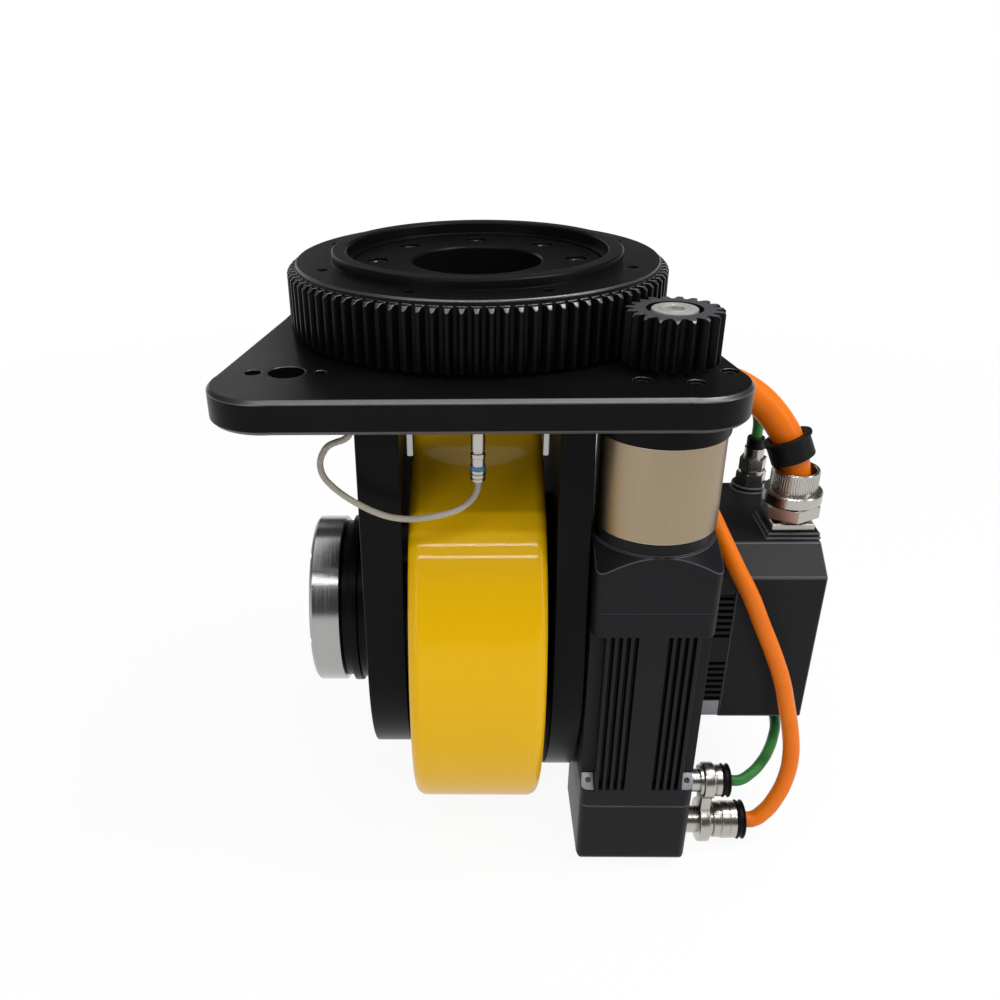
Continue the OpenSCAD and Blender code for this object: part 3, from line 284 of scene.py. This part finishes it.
FINISHES = {
    "black_anodised": anodised("black_anodised", (0.0026, 0.0026, 0.0029), 0.3, level=0.08),
    "motor_coat": anodised("motor_coat", (0.0075, 0.0075, 0.0092), 0.38, grain=700, level=0.13),
    "gearbox_champagne": brushed("gearbox_champagne", (0.35, 0.275, 0.185), 0.36, (1, 1, 0.03)),
    "tyre_polyurethane": cast_urethane("tyre_polyurethane", (0.82, 0.475, 0.0016), (0.78, 0.44, 0.0012)),
    "hub_casting": anodised("hub_casting", (0.01, 0.01, 0.01), 0.55, grain=400),
    "turned_steel": turned("turned_steel", (0.40, 0.40, 0.39), 0.2),
    "bearing_steel": plated("bearing_steel", (0.62, 0.62, 0.62), 0.16),
    "gear_steel": brushed("gear_steel", (0.45, 0.45, 0.46), 0.34, (0.05, 1, 1)),
    "black_screws": anodised("black_screws", (0.006, 0.006, 0.006), 0.3, grain=1200, level=0.5),
    "zinc_screws": plated("zinc_screws", (0.46, 0.46, 0.45), 0.28),
    "nickel_plate": plated("nickel_plate", (0.50, 0.475, 0.44), 0.27),
    "black_rubber": moulded("black_rubber", (0.003, 0.003, 0.003), 0.5, 0.14),
    "orange_jacket": jacket("orange_jacket", (0.80, 0.178, 0.003), (0.75, 0.155, 0.002)),
    "green_jacket": jacket("green_jacket", (0.045, 0.22, 0.05), (0.03, 0.17, 0.035)),
    "grey_jacket": jacket("grey_jacket", (0.42, 0.38, 0.32), (0.35, 0.315, 0.26)),
    "blue_lens": lens("blue_lens", (0.012, 0.13, 0.34)),
}
BLACK, COAT, SCREWS = FINISHES["black_anodised"], FINISHES["motor_coat"], FINISHES["black_screws"]
NICKEL, RUBBER = FINISHES["nickel_plate"], FINISHES["black_rubber"]
# Painted highlight: a lighter grey for chamfers and tooth tips, where the black metal would catch the light.
PAINTED_GLINT = brushed("bright_edge", (0.13, 0.13, 0.135), 0.34, (1, 1, 1), metal=0.9)
# Painted sheen: a lighter grey for the light that falls along broken edges and seams, on the plate's lower chamfer
# and on the pinion's top faces.
PAINTED_SHEEN = anodised("worn_edge", (0.045, 0.045, 0.05), 0.4, level=0.4)
# Painted highlight: a pale champagne for the light lines along the gearbox ring's top and bottom rims.
PAINTED_RIM_HIGHLIGHT = plated("pale_edge", (0.72, 0.64, 0.50), 0.3)
BARE_FOOT = brushed("bare_foot", (0.27, 0.28, 0.30), 0.42, (1, 1, 1), metal=0.5)
DULL_ZINC = brushed("dull_zinc", (0.42, 0.41, 0.39), 0.45, (1, 1, 1), metal=0.4)


# Pieces
NODE_SLOT = {s["node"]: s["material_slot"] for s in frame["record"]["subparts"]}
NODE_BODY = {n: body for body, nodes in frame["record"]["behaviour"]["bodies"].items() for n in nodes}
for name, cad in frame["nodes"].items():
    cad.data.materials.clear()
    cad.data.materials.append(FINISHES[NODE_SLOT[name]])


def added(name, data):
    made = bpy.data.objects.new(name, data)
    bpy.context.scene.collection.objects.link(made)
    return made


def new_piece(name, mesh, slot, body, *nodes):
    """A finished mesh that rides on a body and stands for CAD nodes."""
    piece = added(name, mesh)
    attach(piece, body)
    if nodes:
        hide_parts(*nodes)
    return piece


def evaluated(piece):
    """The piece's mesh with its modifiers applied."""
    view = bpy.context.evaluated_depsgraph_get()
    mesh = bpy.data.meshes.new_from_object(piece.evaluated_get(view))
    bpy.data.objects.remove(piece)
    return mesh


def paint(piece, finish, picked):
    """Gives a material to the faces that a rule picks. Most uses are painted highlights, painted sheen and painted
    shade.
    """
    mesh = piece.data
    mesh.materials.append(finish)
    for face in mesh.polygons:
        if picked(face):
            face.material_index = len(mesh.materials) - 1


# CAD pieces with broken edges
BREAK_ANGLE = math.radians(26)


def chamfer_outline(shape, width):
    """Chamfers the outer outline of a flat plate, on its top and its underside."""
    heights = [v.co.z for v in shape.verts]
    rims = []
    for height in (min(heights), max(heights)):
        sharp = [e for e in shape.edges if e.calc_face_angle(0) > 1]
        level = [e for e in sharp if all(abs(v.co.z - height) < 1e-6 for v in e.verts)]
        outermost = max((v for e in level for v in e.verts), key=lambda v: v.co.x)
        flat, ring, grown = set(level), set(), {outermost}
        while grown:
            near = {e for v in grown for e in v.link_edges if e in flat} - ring
            ring |= near
            grown = {v for e in near for v in e.verts}
        rims += ring
    bmesh.ops.bevel(shape, geom=rims, offset=width * MM, segments=1, profile=0.5, affect="EDGES", clamp_overlap=False)


def eased(node, width, edge=None, clamp=True, chamfer=0, cut=False):
    """A CAD node with its edges broken, as a machinist leaves them. The bevels may take a lighter material of their
    own: painted sheen where light falls on the edges.
    """
    mesh = frame["nodes"][node].data.copy()
    shape = bmesh.new()
    shape.from_mesh(mesh)
    bmesh.ops.remove_doubles(shape, verts=shape.verts, dist=2e-6)
    bmesh.ops.dissolve_limit(shape, angle_limit=math.radians(0.4), verts=shape.verts, edges=shape.edges)
    if cut:
        underside = [f for f in shape.faces if f.normal.z < -0.9 and len(f.verts) > 40]
        bmesh.ops.triangulate(shape, faces=underside)
    if chamfer:
        chamfer_outline(shape, chamfer)
    shape.to_mesh(mesh)
    shape.free()
    mesh.shade_smooth()
    if edge:
        mesh.materials.append(edge)
    raw = added("raw", mesh)
    bevel = raw.modifiers.new("edges", "BEVEL")
    bevel.width, bevel.segments = width * MM, 2
    bevel.limit_method, bevel.angle_limit = "ANGLE", BREAK_ANGLE
    bevel.use_clamp_overlap = clamp
    bevel.material = 1 if edge else -1
    raw.modifiers.new("cuts", "TRIANGULATE").min_vertices = 5
    normals = raw.modifiers.new("normals", "WEIGHTED_NORMAL")
    normals.weight, normals.keep_sharp = 100, True
    return new_piece("eased_" + node, evaluated(raw), NODE_SLOT[node], NODE_BODY[node], node)


def slants_up(face):
    return 0.2 < face.normal.z < 0.97


def slants_down(face):
    return -0.97 < face.normal.z < -0.2


def on_tooth_tips(face):
    return slants_up(face) and face.center.xy.length > 84 * MM


def in_shaded_slot(face):
    """Whether a face of the steering motor lies in a slot between its fins, where black is painted as shade."""
    off_x, off_y = abs(face.center.x - PINION_X * MM), abs(face.center.y - PINION_Y * MM)
    near, far = sorted((off_x, off_y))
    return abs(face.normal.z) < 0.5 and near < 22.8 * MM and far < 29 * MM


plate = eased("turntable_plate", 0.35, clamp=False, chamfer=1.6)
# The plate's upper chamfer gets a painted highlight and its lower chamfer painted sheen, for the light they catch.
paint(plate, PAINTED_GLINT, slants_up)
paint(plate, PAINTED_SHEEN, slants_down)
# The slopes of the ring gear's tooth tips get a painted highlight.
paint(eased("ring_gear", 0.3, cut=True), PAINTED_GLINT, on_tooth_tips)
pinion = eased("pinion", 0.3, cut=True)
# The pinion's slopes get a painted highlight and its top faces painted sheen, where light falls from above.
paint(pinion, PAINTED_GLINT, slants_up)
paint(pinion, PAINTED_SHEEN, lambda face: face.normal.z > 0.97)

WIDE_EDGES = {
    "left_arm": 0.8, "right_arm": 0.8, "bearing_flange": 0.5, "bearing_cap": 0.35, "steer_nose": 0.5,
    "drive_motor_adapter": 0.5, "drive_motor_end_cap": 0.9, "steer_motor_end_cap": 0.9, "cable_block": 0.6,
    "steer_motor_adapter": 0.35,
}
# The bevels of the motor-coated parts get painted sheen: light lines painted along their edges and seams.
for node, width in WIDE_EDGES.items():
    eased(node, width, PAINTED_SHEEN if NODE_SLOT[node] == "motor_coat" else None, clamp=False)

FINE_EDGES = {
    "inner_ring": 0.3, "steer_gearbox_ring": 0.4, "steer_motor_body": 0.4, "drive_motor_body": 0.35,
    "drive_motor_bolts": 0.4, "tyre": 0.3, "wheel_hub": 0.5, "cable_collar": 0.8, "cable_seals": 0.9,
    "plate_studs": 0.3, "drive_encoder_connector": 0.5, "gearbox_screws": 0.25, "arm_screws": 0.25,
    "drive_adapter_screws": 0.25,
}
fine = {node: eased(node, width) for node, width in FINE_EDGES.items()}
fine["drive_motor_bolts"].data.materials[0] = BARE_FOOT
paint(fine["drive_motor_bolts"], COAT, lambda face: face.center.z > AXLE_Z * MM)
# Painted highlight on the slanted rims at the gearbox ring's top and bottom.
paint(fine["steer_gearbox_ring"], PAINTED_RIM_HIGHLIGHT, lambda face: 0.1 < abs(face.normal.z) < 0.95)
# Painted shade: the faces deep in the slots between the steering motor's fins are painted black.
paint(fine["steer_motor_body"], BLACK, in_shaded_slot)


# Lofts and repeats
def finished(shape, finish):
    """The mesh of a shape in the making, smooth but for its sharp edges."""
    mesh = bpy.data.meshes.new("shape")
    shape.to_mesh(mesh)
    shape.free()
    mesh.materials.append(finish)
    mesh.shade_smooth()
    mesh.set_sharp_from_angle(angle=math.radians(32))
    return mesh


def loft(steps, finish, around=48):
    """A closed mesh through outlines stacked along Z. A step is a height and a half width, in mm, with a number of
    sides where it isn't round."""
    shape = bmesh.new()
    rings = []
    for height, size, *sides in steps:
        half = math.pi / sides[0] if sides else 0
        ring = []
        for i in range(around):
            turn = math.tau * i / around
            reach = size / math.cos((turn + half) % (2 * half) - half) if sides else size
            ring.append(shape.verts.new(Vector((reach * math.cos(turn), reach * math.sin(turn), height)) * MM))
        rings.append(ring)
    for low, high in zip(rings, rings[1:]):
        for i in range(around):
            j = (i + 1) % around
            shape.faces.new((low[i], low[j], high[j], high[i]))
    shape.faces.new(rings[0][::-1])
    shape.faces.new(rings[-1])
    return finished(shape, finish)


def stood(mesh, at, axis=(0, 0, 1)):
    """The mesh with its origin moved to a point, in mm, and its Z turned to an axis."""
    turn = Vector(axis).to_track_quat("Z", "Y").to_matrix().to_4x4()
    mesh.transform(Matrix.Translation(Vector(at) * MM) @ turn)
    return mesh


def joined(*meshes):
    """One mesh from several of one finish."""
    shape = bmesh.new()
    for mesh in meshes:
        shape.from_mesh(mesh)
    whole = meshes[0].copy()
    shape.to_mesh(whole)
    shape.free()
    return whole


class RingTree(Graph):
    """Geometry Nodes that repeat a part on a circle about Z, each copy turned outwards."""

    INPUTS = {"Part": "NodeSocketObject", "Count": "NodeSocketInt", "Radius": "NodeSocketFloat",
              "Finish": "NodeSocketMaterial"}

    def __init__(self):
        super().__init__(bpy.data.node_groups.new("ring_of_parts", "GeometryNodeTree"))
        face = self.tree.interface
        self.ids = {n: face.new_socket(n, in_out="INPUT", socket_type=k).identifier for n, k in self.INPUTS.items()}
        face.new_socket("Geometry", in_out="OUTPUT", socket_type="NodeSocketGeometry")
        given = self.tree.nodes.new("NodeGroupInput").outputs
        part, count, radius, finish = (Wire(self, given[n]) for n in self.INPUTS)
        turn = self.node("GeometryNodeInputIndex") * (math.tau / count)
        facing = self.node("ShaderNodeCombineXYZ", {}, [0.0, 0.0, turn])
        out = self.node("ShaderNodeCombineXYZ", {}, [radius, 0.0, 0.0])
        at = self.node("ShaderNodeVectorRotate", {"rotation_type": "Z_AXIS"}, {"Vector": out, "Angle": turn})
        points = self.node("GeometryNodePoints", {}, {"Count": count, "Position": at})
        shape = self.node("GeometryNodeObjectInfo", {}, {"Object": part}, "Geometry")
        copies = {"Points": points, "Instance": shape, "Rotation": facing}
        many = self.node("GeometryNodeInstanceOnPoints", {}, copies)
        real = self.node("GeometryNodeRealizeInstances", {}, {"Geometry": many})
        done = self.node("GeometryNodeSetMaterial", {}, {"Geometry": real, "Material": finish})
        self.set(self.tree.nodes.new("NodeGroupOutput").inputs["Geometry"], done)

    def ring(self, mesh, count, radius, at, axis=(0, 0, 1)):
        """A mesh with count copies of a part about an axis through a point, in mm."""
        part = added("part", mesh)
        host = added("host", bpy.data.meshes.new("host"))
        made = host.modifiers.new("ring", "NODES")
        made.node_group = self.tree
        values = {"Part": part, "Count": count, "Radius": radius * MM, "Finish": mesh.materials[0]}
        for name, value in values.items():
            made[self.ids[name]] = value
        whole = evaluated(host)
        bpy.data.objects.remove(part)
        return stood(whole, at, axis)


def socket_screw(d, shank):
    """A socket head screw with its seat at z = 0: rounded head, chamfered hexagon socket."""
    r, key = 0.75 * d + 0.5, 0.41 * d
    return loft([(-shank, 0.4 * d), (-shank + 0.1 * d, 0.5 * d), (0, 0.5 * d), (0, r - 0.1), (0.1, r), (0.86 * d, r),
                 (0.96 * d, 0.95 * r), (d, 0.88 * r), (d, 1.18 * key), (0.93 * d, key, 6), (0.5 * d, key, 6),
                 (0.42 * d, 0.3 * key)], SCREWS)


def grip_rib(length, half):
    """A fine rib of a sleeve, for the grip of a hand or a spanner."""
    return loft([(0, 0.3 * half), (0.4, half), (length - 0.4, half), (length, 0.3 * half)], NICKEL, 8)


RINGS = RingTree()
new_piece("ring_screws", RINGS.ring(socket_screw(6, 36.6), 8, 49.4, (0, 0, -9)),
          "black_screws", "turntable", "inner_ring_screws")
new_piece("cap_screws", RINGS.ring(socket_screw(4, 42.4), 6, 43.5, (-87.4, 0, AXLE_Z), (-1, 0, 0)),
          "black_screws", "turntable", "bearing_cap_screws")
new_piece("gland_flutes", RINGS.ring(grip_rib(9.4, 0.24), 60, 12.25, (GLAND_X, GLAND_Y, -117.2)),
          "nickel_plate", "turntable")


# Steering motor's corner feet
FOOT_FLOOR = min(v.co.z for v in frame["nodes"]["steer_motor_bolts"].data.vertices) / MM
CORNERS = [(side, front) for side in (-1, 1) for front in (-1, 1)]


def corner_foot(side, front, size=6.4, high=6.8, low=0.8, r=3.4):
    """A wedge in a corner notch, with a round outer corner and a slope that falls to the front or the back."""
    inner = Vector((PINION_X + side * 23.3, PINION_Y + front * 23.3, FOOT_FLOOR))
    bend = [math.pi / 2 * i / 6 for i in range(7)]
    rounding = [(size - r + r * math.cos(a), size - r + r * math.sin(a)) for a in bend]
    outline = [(0, 0), (size, 0)] + rounding + [(0, size)]
    shape = bmesh.new()

    def corner(x, y, height):
        return shape.verts.new((inner + Vector((side * x, front * y, height))) * MM)

    floor = [corner(x, y, 0) for x, y in outline]
    slope = [corner(x, y, high - (high - low) * y / size) for x, y in outline]
    for i in range(len(outline)):
        shape.faces.new((floor[i - 1], floor[i], slope[i], slope[i - 1]))
    shape.faces.new(floor)
    shape.faces.new(slope)
    bmesh.ops.recalc_face_normals(shape, faces=shape.faces)
    rims = [e for e in shape.edges if e.calc_face_angle(0) > 0.5]
    bmesh.ops.bevel(shape, geom=rims, offset=0.35 * MM, segments=2, profile=0.5, affect="EDGES")
    return finished(shape, BARE_FOOT)


def foot_screw(side, front):
    """A small socket screw that stands square on a foot's slope."""
    head = loft([(-1, 1.5), (0.3, 1.5), (0.6, 1.2), (0.6, 0.8, 6), (0, 0.8, 6)], SCREWS, 24)
    return stood(head, (PINION_X + side * 26.3, PINION_Y + front * 26.3, FOOT_FLOOR + 4), (0, front * 0.94, 1))


new_piece("corner_feet", joined(*[corner_foot(*c) for c in CORNERS]), "zinc_screws", "turntable", "steer_motor_bolts")
new_piece("foot_screws", joined(*[foot_screw(*c) for c in CORNERS]), "black_screws", "turntable")


# Connectors
def link_plate(low, high, thickness, neck):
    """A flat link round two bores, with rounded rims. An end is a height and a radius, in mm."""
    outline = []
    for (centre, r), facing in ((low, 1), (high, -1)):
        gap = math.asin(neck / r)
        for i in range(33):
            turn = facing * math.pi / 2 + gap + (math.tau - 2 * gap) * i / 32
            outline.append(Vector((r * math.cos(turn), centre + r * math.sin(turn), 0)) * MM)
    shape = bmesh.new()
    base = shape.faces.new([shape.verts.new(p) for p in outline])
    grown = bmesh.ops.extrude_face_region(shape, geom=[base])["geom"]
    lifted = [v for v in grown if isinstance(v, bmesh.types.BMVert)]
    bmesh.ops.translate(shape, vec=(0, 0, thickness * MM), verts=lifted)
    bmesh.ops.recalc_face_normals(shape, faces=shape.faces)
    sharp = [e for e in shape.edges if e.calc_face_angle(0) > 1.2]
    rims = [e for e in sharp if abs(e.verts[0].co.z - e.verts[1].co.z) < 1e-6]
    bmesh.ops.bevel(shape, geom=rims, offset=0.9 * MM, segments=3, profile=0.5, affect="EDGES")
    return finished(shape, NICKEL)


def lips(r):
    """The two flared rims of a cable seal that is 4.5 mm long."""
    rim = [(0, r - 0.4), (0.2, r + 0.3), (0.6, r + 0.6), (1, r + 0.3), (1.3, r - 0.4)]
    return [loft([(at + height, size) for height, size in rim], RUBBER) for at in (0.1, 3.1)]


def sideways(mesh, x, z):
    """A part of the steering motor's connectors, laid along X."""
    return stood(mesh, (x, SOCKET_Y, z), (1, 0, 0))


GLAND_AT = (GLAND_X, GLAND_Y, GLAND_Z)
gland = loft([(0, 10.6, 4), (0.6, 11.2, 4), (3.4, 11.2, 4), (4, 10.6, 4), (4, 10.2), (5.4, 10.2), (5.4, 12.7, 6),
              (6.3, 13.6, 6), (12.7, 13.6, 6), (13.6, 12.8, 6), (13.6, 15), (14.3, 15.6), (19.5, 15.6), (20.3, 15),
              (20.6, 12.3), (31.4, 12.3), (32, 11.9), (32, 10.9), (31.5, 10.5), (18, 10.5)], NICKEL, 72)
new_piece("power_gland", stood(gland, GLAND_AT), "nickel_plate", "turntable", "drive_power_connector")
seal = loft([(22, 10.4), (24.6, 10.4), (25.4, 9.8), (25.6, 8.4), (24.9, 7.6)], RUBBER)
new_piece("gland_seal", stood(seal, GLAND_AT), "black_rubber", "turntable")

lower = loft([(0, 7.6), (10, 7.6), (10, 9), (17.6, 9), (17.8, 9.7), (18.2, 10.1), (21.6, 10.1), (21.9, 9.7),
              (22.3, 9.7), (22.6, 10.2), (23, 10.5), (26.6, 10.5), (26.9, 10.1), (27.2, 10.1), (27.5, 10.4),
              (30.9, 10.4), (31.5, 9.8)], NICKEL)
upper = loft([(0, 6.4), (8, 6.4), (8, 8.6), (16, 8.6), (16.2, 8.3), (16.5, 8.3), (16.8, 8.8), (19.5, 8.8), (20, 8.3)],
             NICKEL)
link = link_plate((LOWER_SOCKET_Z, 12.4), (UPPER_SOCKET_Z, 10.2), 6.2, 5.4)
sockets = joined(sideways(lower, SOCKET_X, LOWER_SOCKET_Z), sideways(upper, SOCKET_X, UPPER_SOCKET_Z),
                 sideways(link, SOCKET_X + 9.5, 0))
new_piece("steer_sockets", sockets, "nickel_plate", "turntable", "steer_connectors")
rims = [sideways(m, SOCKET_X + 31.5, LOWER_SOCKET_Z) for m in lips(10.4)]
rims += [sideways(m, SOCKET_X + 20, UPPER_SOCKET_Z) for m in lips(8.8)]
new_piece("seal_lips", joined(*rims), "black_rubber", "turntable")


# Sensor and pinion bolt
sensor = loft([(-84, 2.9), (-83.7, 3.4), (-82.5, 3.6), (-82.2, 3.1), (-81.8, 3.1), (-81.5, 3.6), (-80.4, 3.6),
               (-80.1, 3.2), (-79.8, 3.2), (-79.5, 3.6), (-78.5, 3.6), (-78.2, 3.2), (-72.4, 3.2), (-72.1, 3.5),
               (-70.2, 3.5), (-69.8, 2.9), (-69.3, 2.9), (-69, 3.2), (-33.5, 3.2)], NICKEL, 32)
new_piece("sensor_barrel", stood(sensor, (0, SENSOR_Y, 0)), "nickel_plate", NODE_BODY["home_sensor"], "home_sensor")

washer = loft([(-11.6, 9.9), (-11.3, 10.3), (-8.9, 10.3), (-8.4, 10.1), (-8.2, 9.5), (-8.2, 7.3), (-10, 5.6)],
              DULL_ZINC)
bolt = loft([(-25.6, 2.6), (-25, 3), (-11.4, 3), (-10.1, 5.2), (-8.5, 6.9), (-8.1, 6.6), (-8, 5), (-8.4, 4, 6),
             (-13.5, 4, 6), (-14, 1.5)], DULL_ZINC)
for name, mesh in {"pinion_washer": washer, "pinion_bolt": bolt}.items():
    new_piece("turned_" + name, stood(mesh, (PINION_X, PINION_Y, 0)), NODE_SLOT[name], NODE_BODY[name], name)


# Cables
def rounded(route, more):
    """A smooth line through a route's points, with more points between them."""
    line = []
    last = len(route) - 1
    for i in range(last):
        a, b, c, d = (Vector(route[max(0, min(last, j))]) for j in (i - 1, i, i + 1, i + 2))
        for k in range(more):
            t = k / more
            bend = (2 * a - 5 * b + 4 * c - d) * t * t + (3 * b - a - 3 * c + d) * t ** 3
            line.append(0.5 * (2 * b + (c - a) * t + bend))
    return [p * MM for p in line] + [Vector(route[-1]) * MM]


def cable(name, node, slot, radius, route, more=2):
    """A round cable along a route, in mm, from its connector to its other end."""
    line = rounded(route, more)
    curve = bpy.data.curves.new(name, "CURVE")
    curve.dimensions = "3D"
    curve.bevel_depth = radius * MM
    curve.bevel_resolution = 6
    curve.resolution_u = 8
    curve.use_fill_caps = True
    spline = curve.splines.new("BEZIER")
    spline.bezier_points.add(len(line) - 1)
    for point, at in zip(spline.bezier_points, line):
        point.co = at
        point.handle_left_type = point.handle_right_type = "AUTO"
    curve.materials.append(FINISHES[slot])
    piece = added(name, curve)
    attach(piece, "turntable")
    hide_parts(node)
    length = sum((b - a).length for a, b in zip(line, line[1:]))


cable("drive_power_lead", "drive_power_cable", "orange_jacket", 8, [
    (169, -20, -124), (169, -20, -113), (167, -19, -102), (162, -17, -90), (154, -14, -79), (144, -11, -70),
    (132, -8, -64), (119, -6, -62), (106, -4, -61), (93, -3, -61), (80, -2, -61), (67, -2, -61), (55, -2, -61)])
cable("drive_encoder_lead", "drive_encoder_cable", "green_jacket", 3, [
    (162, 33, -110), (162, 33, -103), (160, 32, -95), (155, 31, -86), (147, 29, -77), (137, 26, -70), (125, 22, -65),
    (112, 18, -62), (98, 16, -61), (84, 15, -61), (70, 14, -61), (55, 14, -61)])
cable("steer_power_lead", "steer_power_cable", "orange_jacket", 4.5, [
    (151.5, -80.4, -298), (157, -80.4, -298), (163, -80, -293), (169, -79, -282), (173, -77, -269), (174, -75, -256),
    (172, -73, -241), (168, -71, -225), (163, -70, -208), (156, -69, -191), (148, -68, -174), (140, -67, -157),
    (132, -64, -143), (125, -57, -130), (118, -48, -117), (109, -39, -104), (98, -31, -91), (86, -24, -78),
    (74, -19, -67), (62, -18, -61), (55, -18, -61)], more=1)
cable("steer_encoder_lead", "steer_encoder_cable", "green_jacket", 3, [
    (140, -80.4, -269), (146, -80.4, -269), (153, -77, -267), (161, -69, -265), (167, -60, -264), (172, -50, -263),
    (176, -39, -262), (178, -22, -261), (177, 0, -261), (175, 22, -261), (172, 42, -259), (168, 56, -252),
    (165, 66, -240), (161, 70, -222), (156, 71, -200), (151, 70, -178), (143, 66, -155), (130, 58, -133),
    (116, 48, -113), (102, 39, -97), (87, 31, -81), (74, 25, -69), (62, 23, -61), (55, 23, -61)], more=1)
cable("sensor_lead", "sensor_cable", "grey_jacket", 1.5, [
    (0, -85, -84), (0, -85, -88), (-3, -87, -93), (-10, -90, -97), (-20, -92, -99), (-31, -93, -100), (-42, -94, -98),
    (-53, -94, -93), (-63, -94, -86), (-70, -94, -78), (-71, -94, -70), (-67, -94, -63), (-60, -94, -60),
    (-57, -94, -57), (-57, -94, -52)])


# Camera, floor and light
def shot():
    """The camera, placed by the photo's perspective."""
    pitch, yaw, roll = 0.5144, -0.0275, -0.0154
    ahead = Vector((math.sin(yaw) * math.cos(pitch), math.cos(yaw) * math.cos(pitch), -math.sin(pitch)))
    right = Vector((math.cos(yaw), -math.sin(yaw), 0))
    up = right.cross(ahead)
    across = math.cos(roll) * right + math.sin(roll) * up
    over = math.cos(roll) * up - math.sin(roll) * right
    glass = bpy.data.cameras.new("camera")
    glass.lens, glass.sensor_width = 35.25, 36
    glass.shift_x, glass.shift_y = 0.0553, 0.0706
    glass.clip_start, glass.clip_end = 0.01, 50
    camera = added("camera", glass)
    turn = Matrix((across, over, -ahead)).transposed().to_4x4()
    camera.matrix_world = Matrix.Translation(Vector((-4.6015, -500.776, 103.004)) * MM) @ turn
    bpy.context.scene.camera = camera


def sight(graph):
    """Two values: 1 where the camera sees a thing itself, and 1 where it sees it in a mirror or through glass."""
    path = graph.node("ShaderNodeLightPath").socket.node.outputs
    kinds = ("Is Camera Ray", "Is Glossy Ray", "Is Transmission Ray")
    itself, mirrored, through = (Wire(graph, path[kind]) for kind in kinds)
    return itself, (1 - itself) * (mirrored + through).clamped()


def backdrop():
    """A white sweep all round. Mirrors see it up to a low height, with a dim ceiling over it."""
    world = bpy.data.worlds.new("studio")
    world.use_nodes = True
    bpy.context.scene.world = world
    g = Graph(world.node_tree)
    way = g.node("ShaderNodeTexCoord", out="Generated")
    height = Wire(g, g.node("ShaderNodeSeparateXYZ", {}, [way]).socket.node.outputs["Z"])
    sweep = g.node("ShaderNodeMapRange", {}, [height, 0.03, 0.13, 1.0, 0.06])
    itself, mirrored = sight(g)
    strength = itself + mirrored * sweep + (1 - itself - mirrored) * 0.28
    g.set(g.tree.nodes["Background"].inputs["Strength"], strength)
    g.set(g.tree.nodes["Background"].inputs["Color"], (1, 1, 1, 1))


def pale_floor():
    """A matt floor that keeps the object's shadow and fades into the white sweep."""
    low = cad_box[0][2] - 0.0004
    mesh = bpy.data.meshes.new("floor")
    mesh.from_pydata([(x * 30, y * 30, low) for x, y in ((-1, -1), (1, -1), (1, 1), (-1, 1))], [], [(0, 1, 2, 3)])
    material = bpy.data.materials.new("floor")
    material.use_nodes = True
    f = Graph(material.node_tree)
    f.tree.nodes.clear()
    matt = f.node("ShaderNodeBsdfDiffuse", {}, {"Color": (0.9, 0.9, 0.9, 1)})
    white = f.node("ShaderNodeEmission", {}, {"Color": (1, 1, 1, 1), "Strength": 1.0})
    itself, mirrored = sight(f)
    place = f.node("ShaderNodeTexCoord", out="Object")
    from_middle = f.node("ShaderNodeVectorMath", {"operation": "LENGTH"}, [place], "Value")
    share = f.node("ShaderNodeMapRange", {}, [from_middle, 0.4, 1.2, 0.93, 1.0])
    both = f.node("ShaderNodeMixShader", {}, [(itself + mirrored) * share, matt, white])
    f.set(f.tree.nodes.new("ShaderNodeOutputMaterial").inputs["Surface"], both)
    mesh.materials.append(material)
    added("floor", mesh)


def lamp(name, place, target, size, watts):
    data = bpy.data.lights.new(name, "AREA")
    data.shape, data.size, data.size_y = "RECTANGLE", *size
    data.energy = watts
    made = added(name, data)
    made.location = place
    made.rotation_euler = (Vector(target) - Vector(place)).to_track_quat("-Z", "Y").to_euler()


shot()
backdrop()
pale_floor()
lamp("top_softbox", (0.2, 0.1, 1.0), (0.2, 0.15, -0.1), (1.5, 1.2), 7)
lamp("key_softbox", (0.55, -0.1, 1.0), (0.16, -0.05, -0.15), (0.38, 0.38), 5)
lamp("front_softbox", (-0.75, -1.0, 0.3), (0.03, 0, -0.15), (0.5, 0.9), 2.5)
lamp("side_strip", (1.0, -0.45, 0.35), (0.06, 0, -0.15), (0.25, 0.9), 3)
lamp("back_card", (-0.64, 1.2, 0.48), (-0.15, -0.11, -0.06), (0.6, 0.4), 0.9)
# Two thin tubes draw the lines of light across the tyre
lamp("tube_low", (0.01, -0.88, 0.91), (0, -0.085, -0.12), (1.2, 0.03), 2.8)
lamp("tube_high", (0.01, -0.75, 1.0), (0, -0.085, -0.12), (1.2, 0.03), 2.8)
bpy.context.scene.view_settings.view_transform = "Standard"
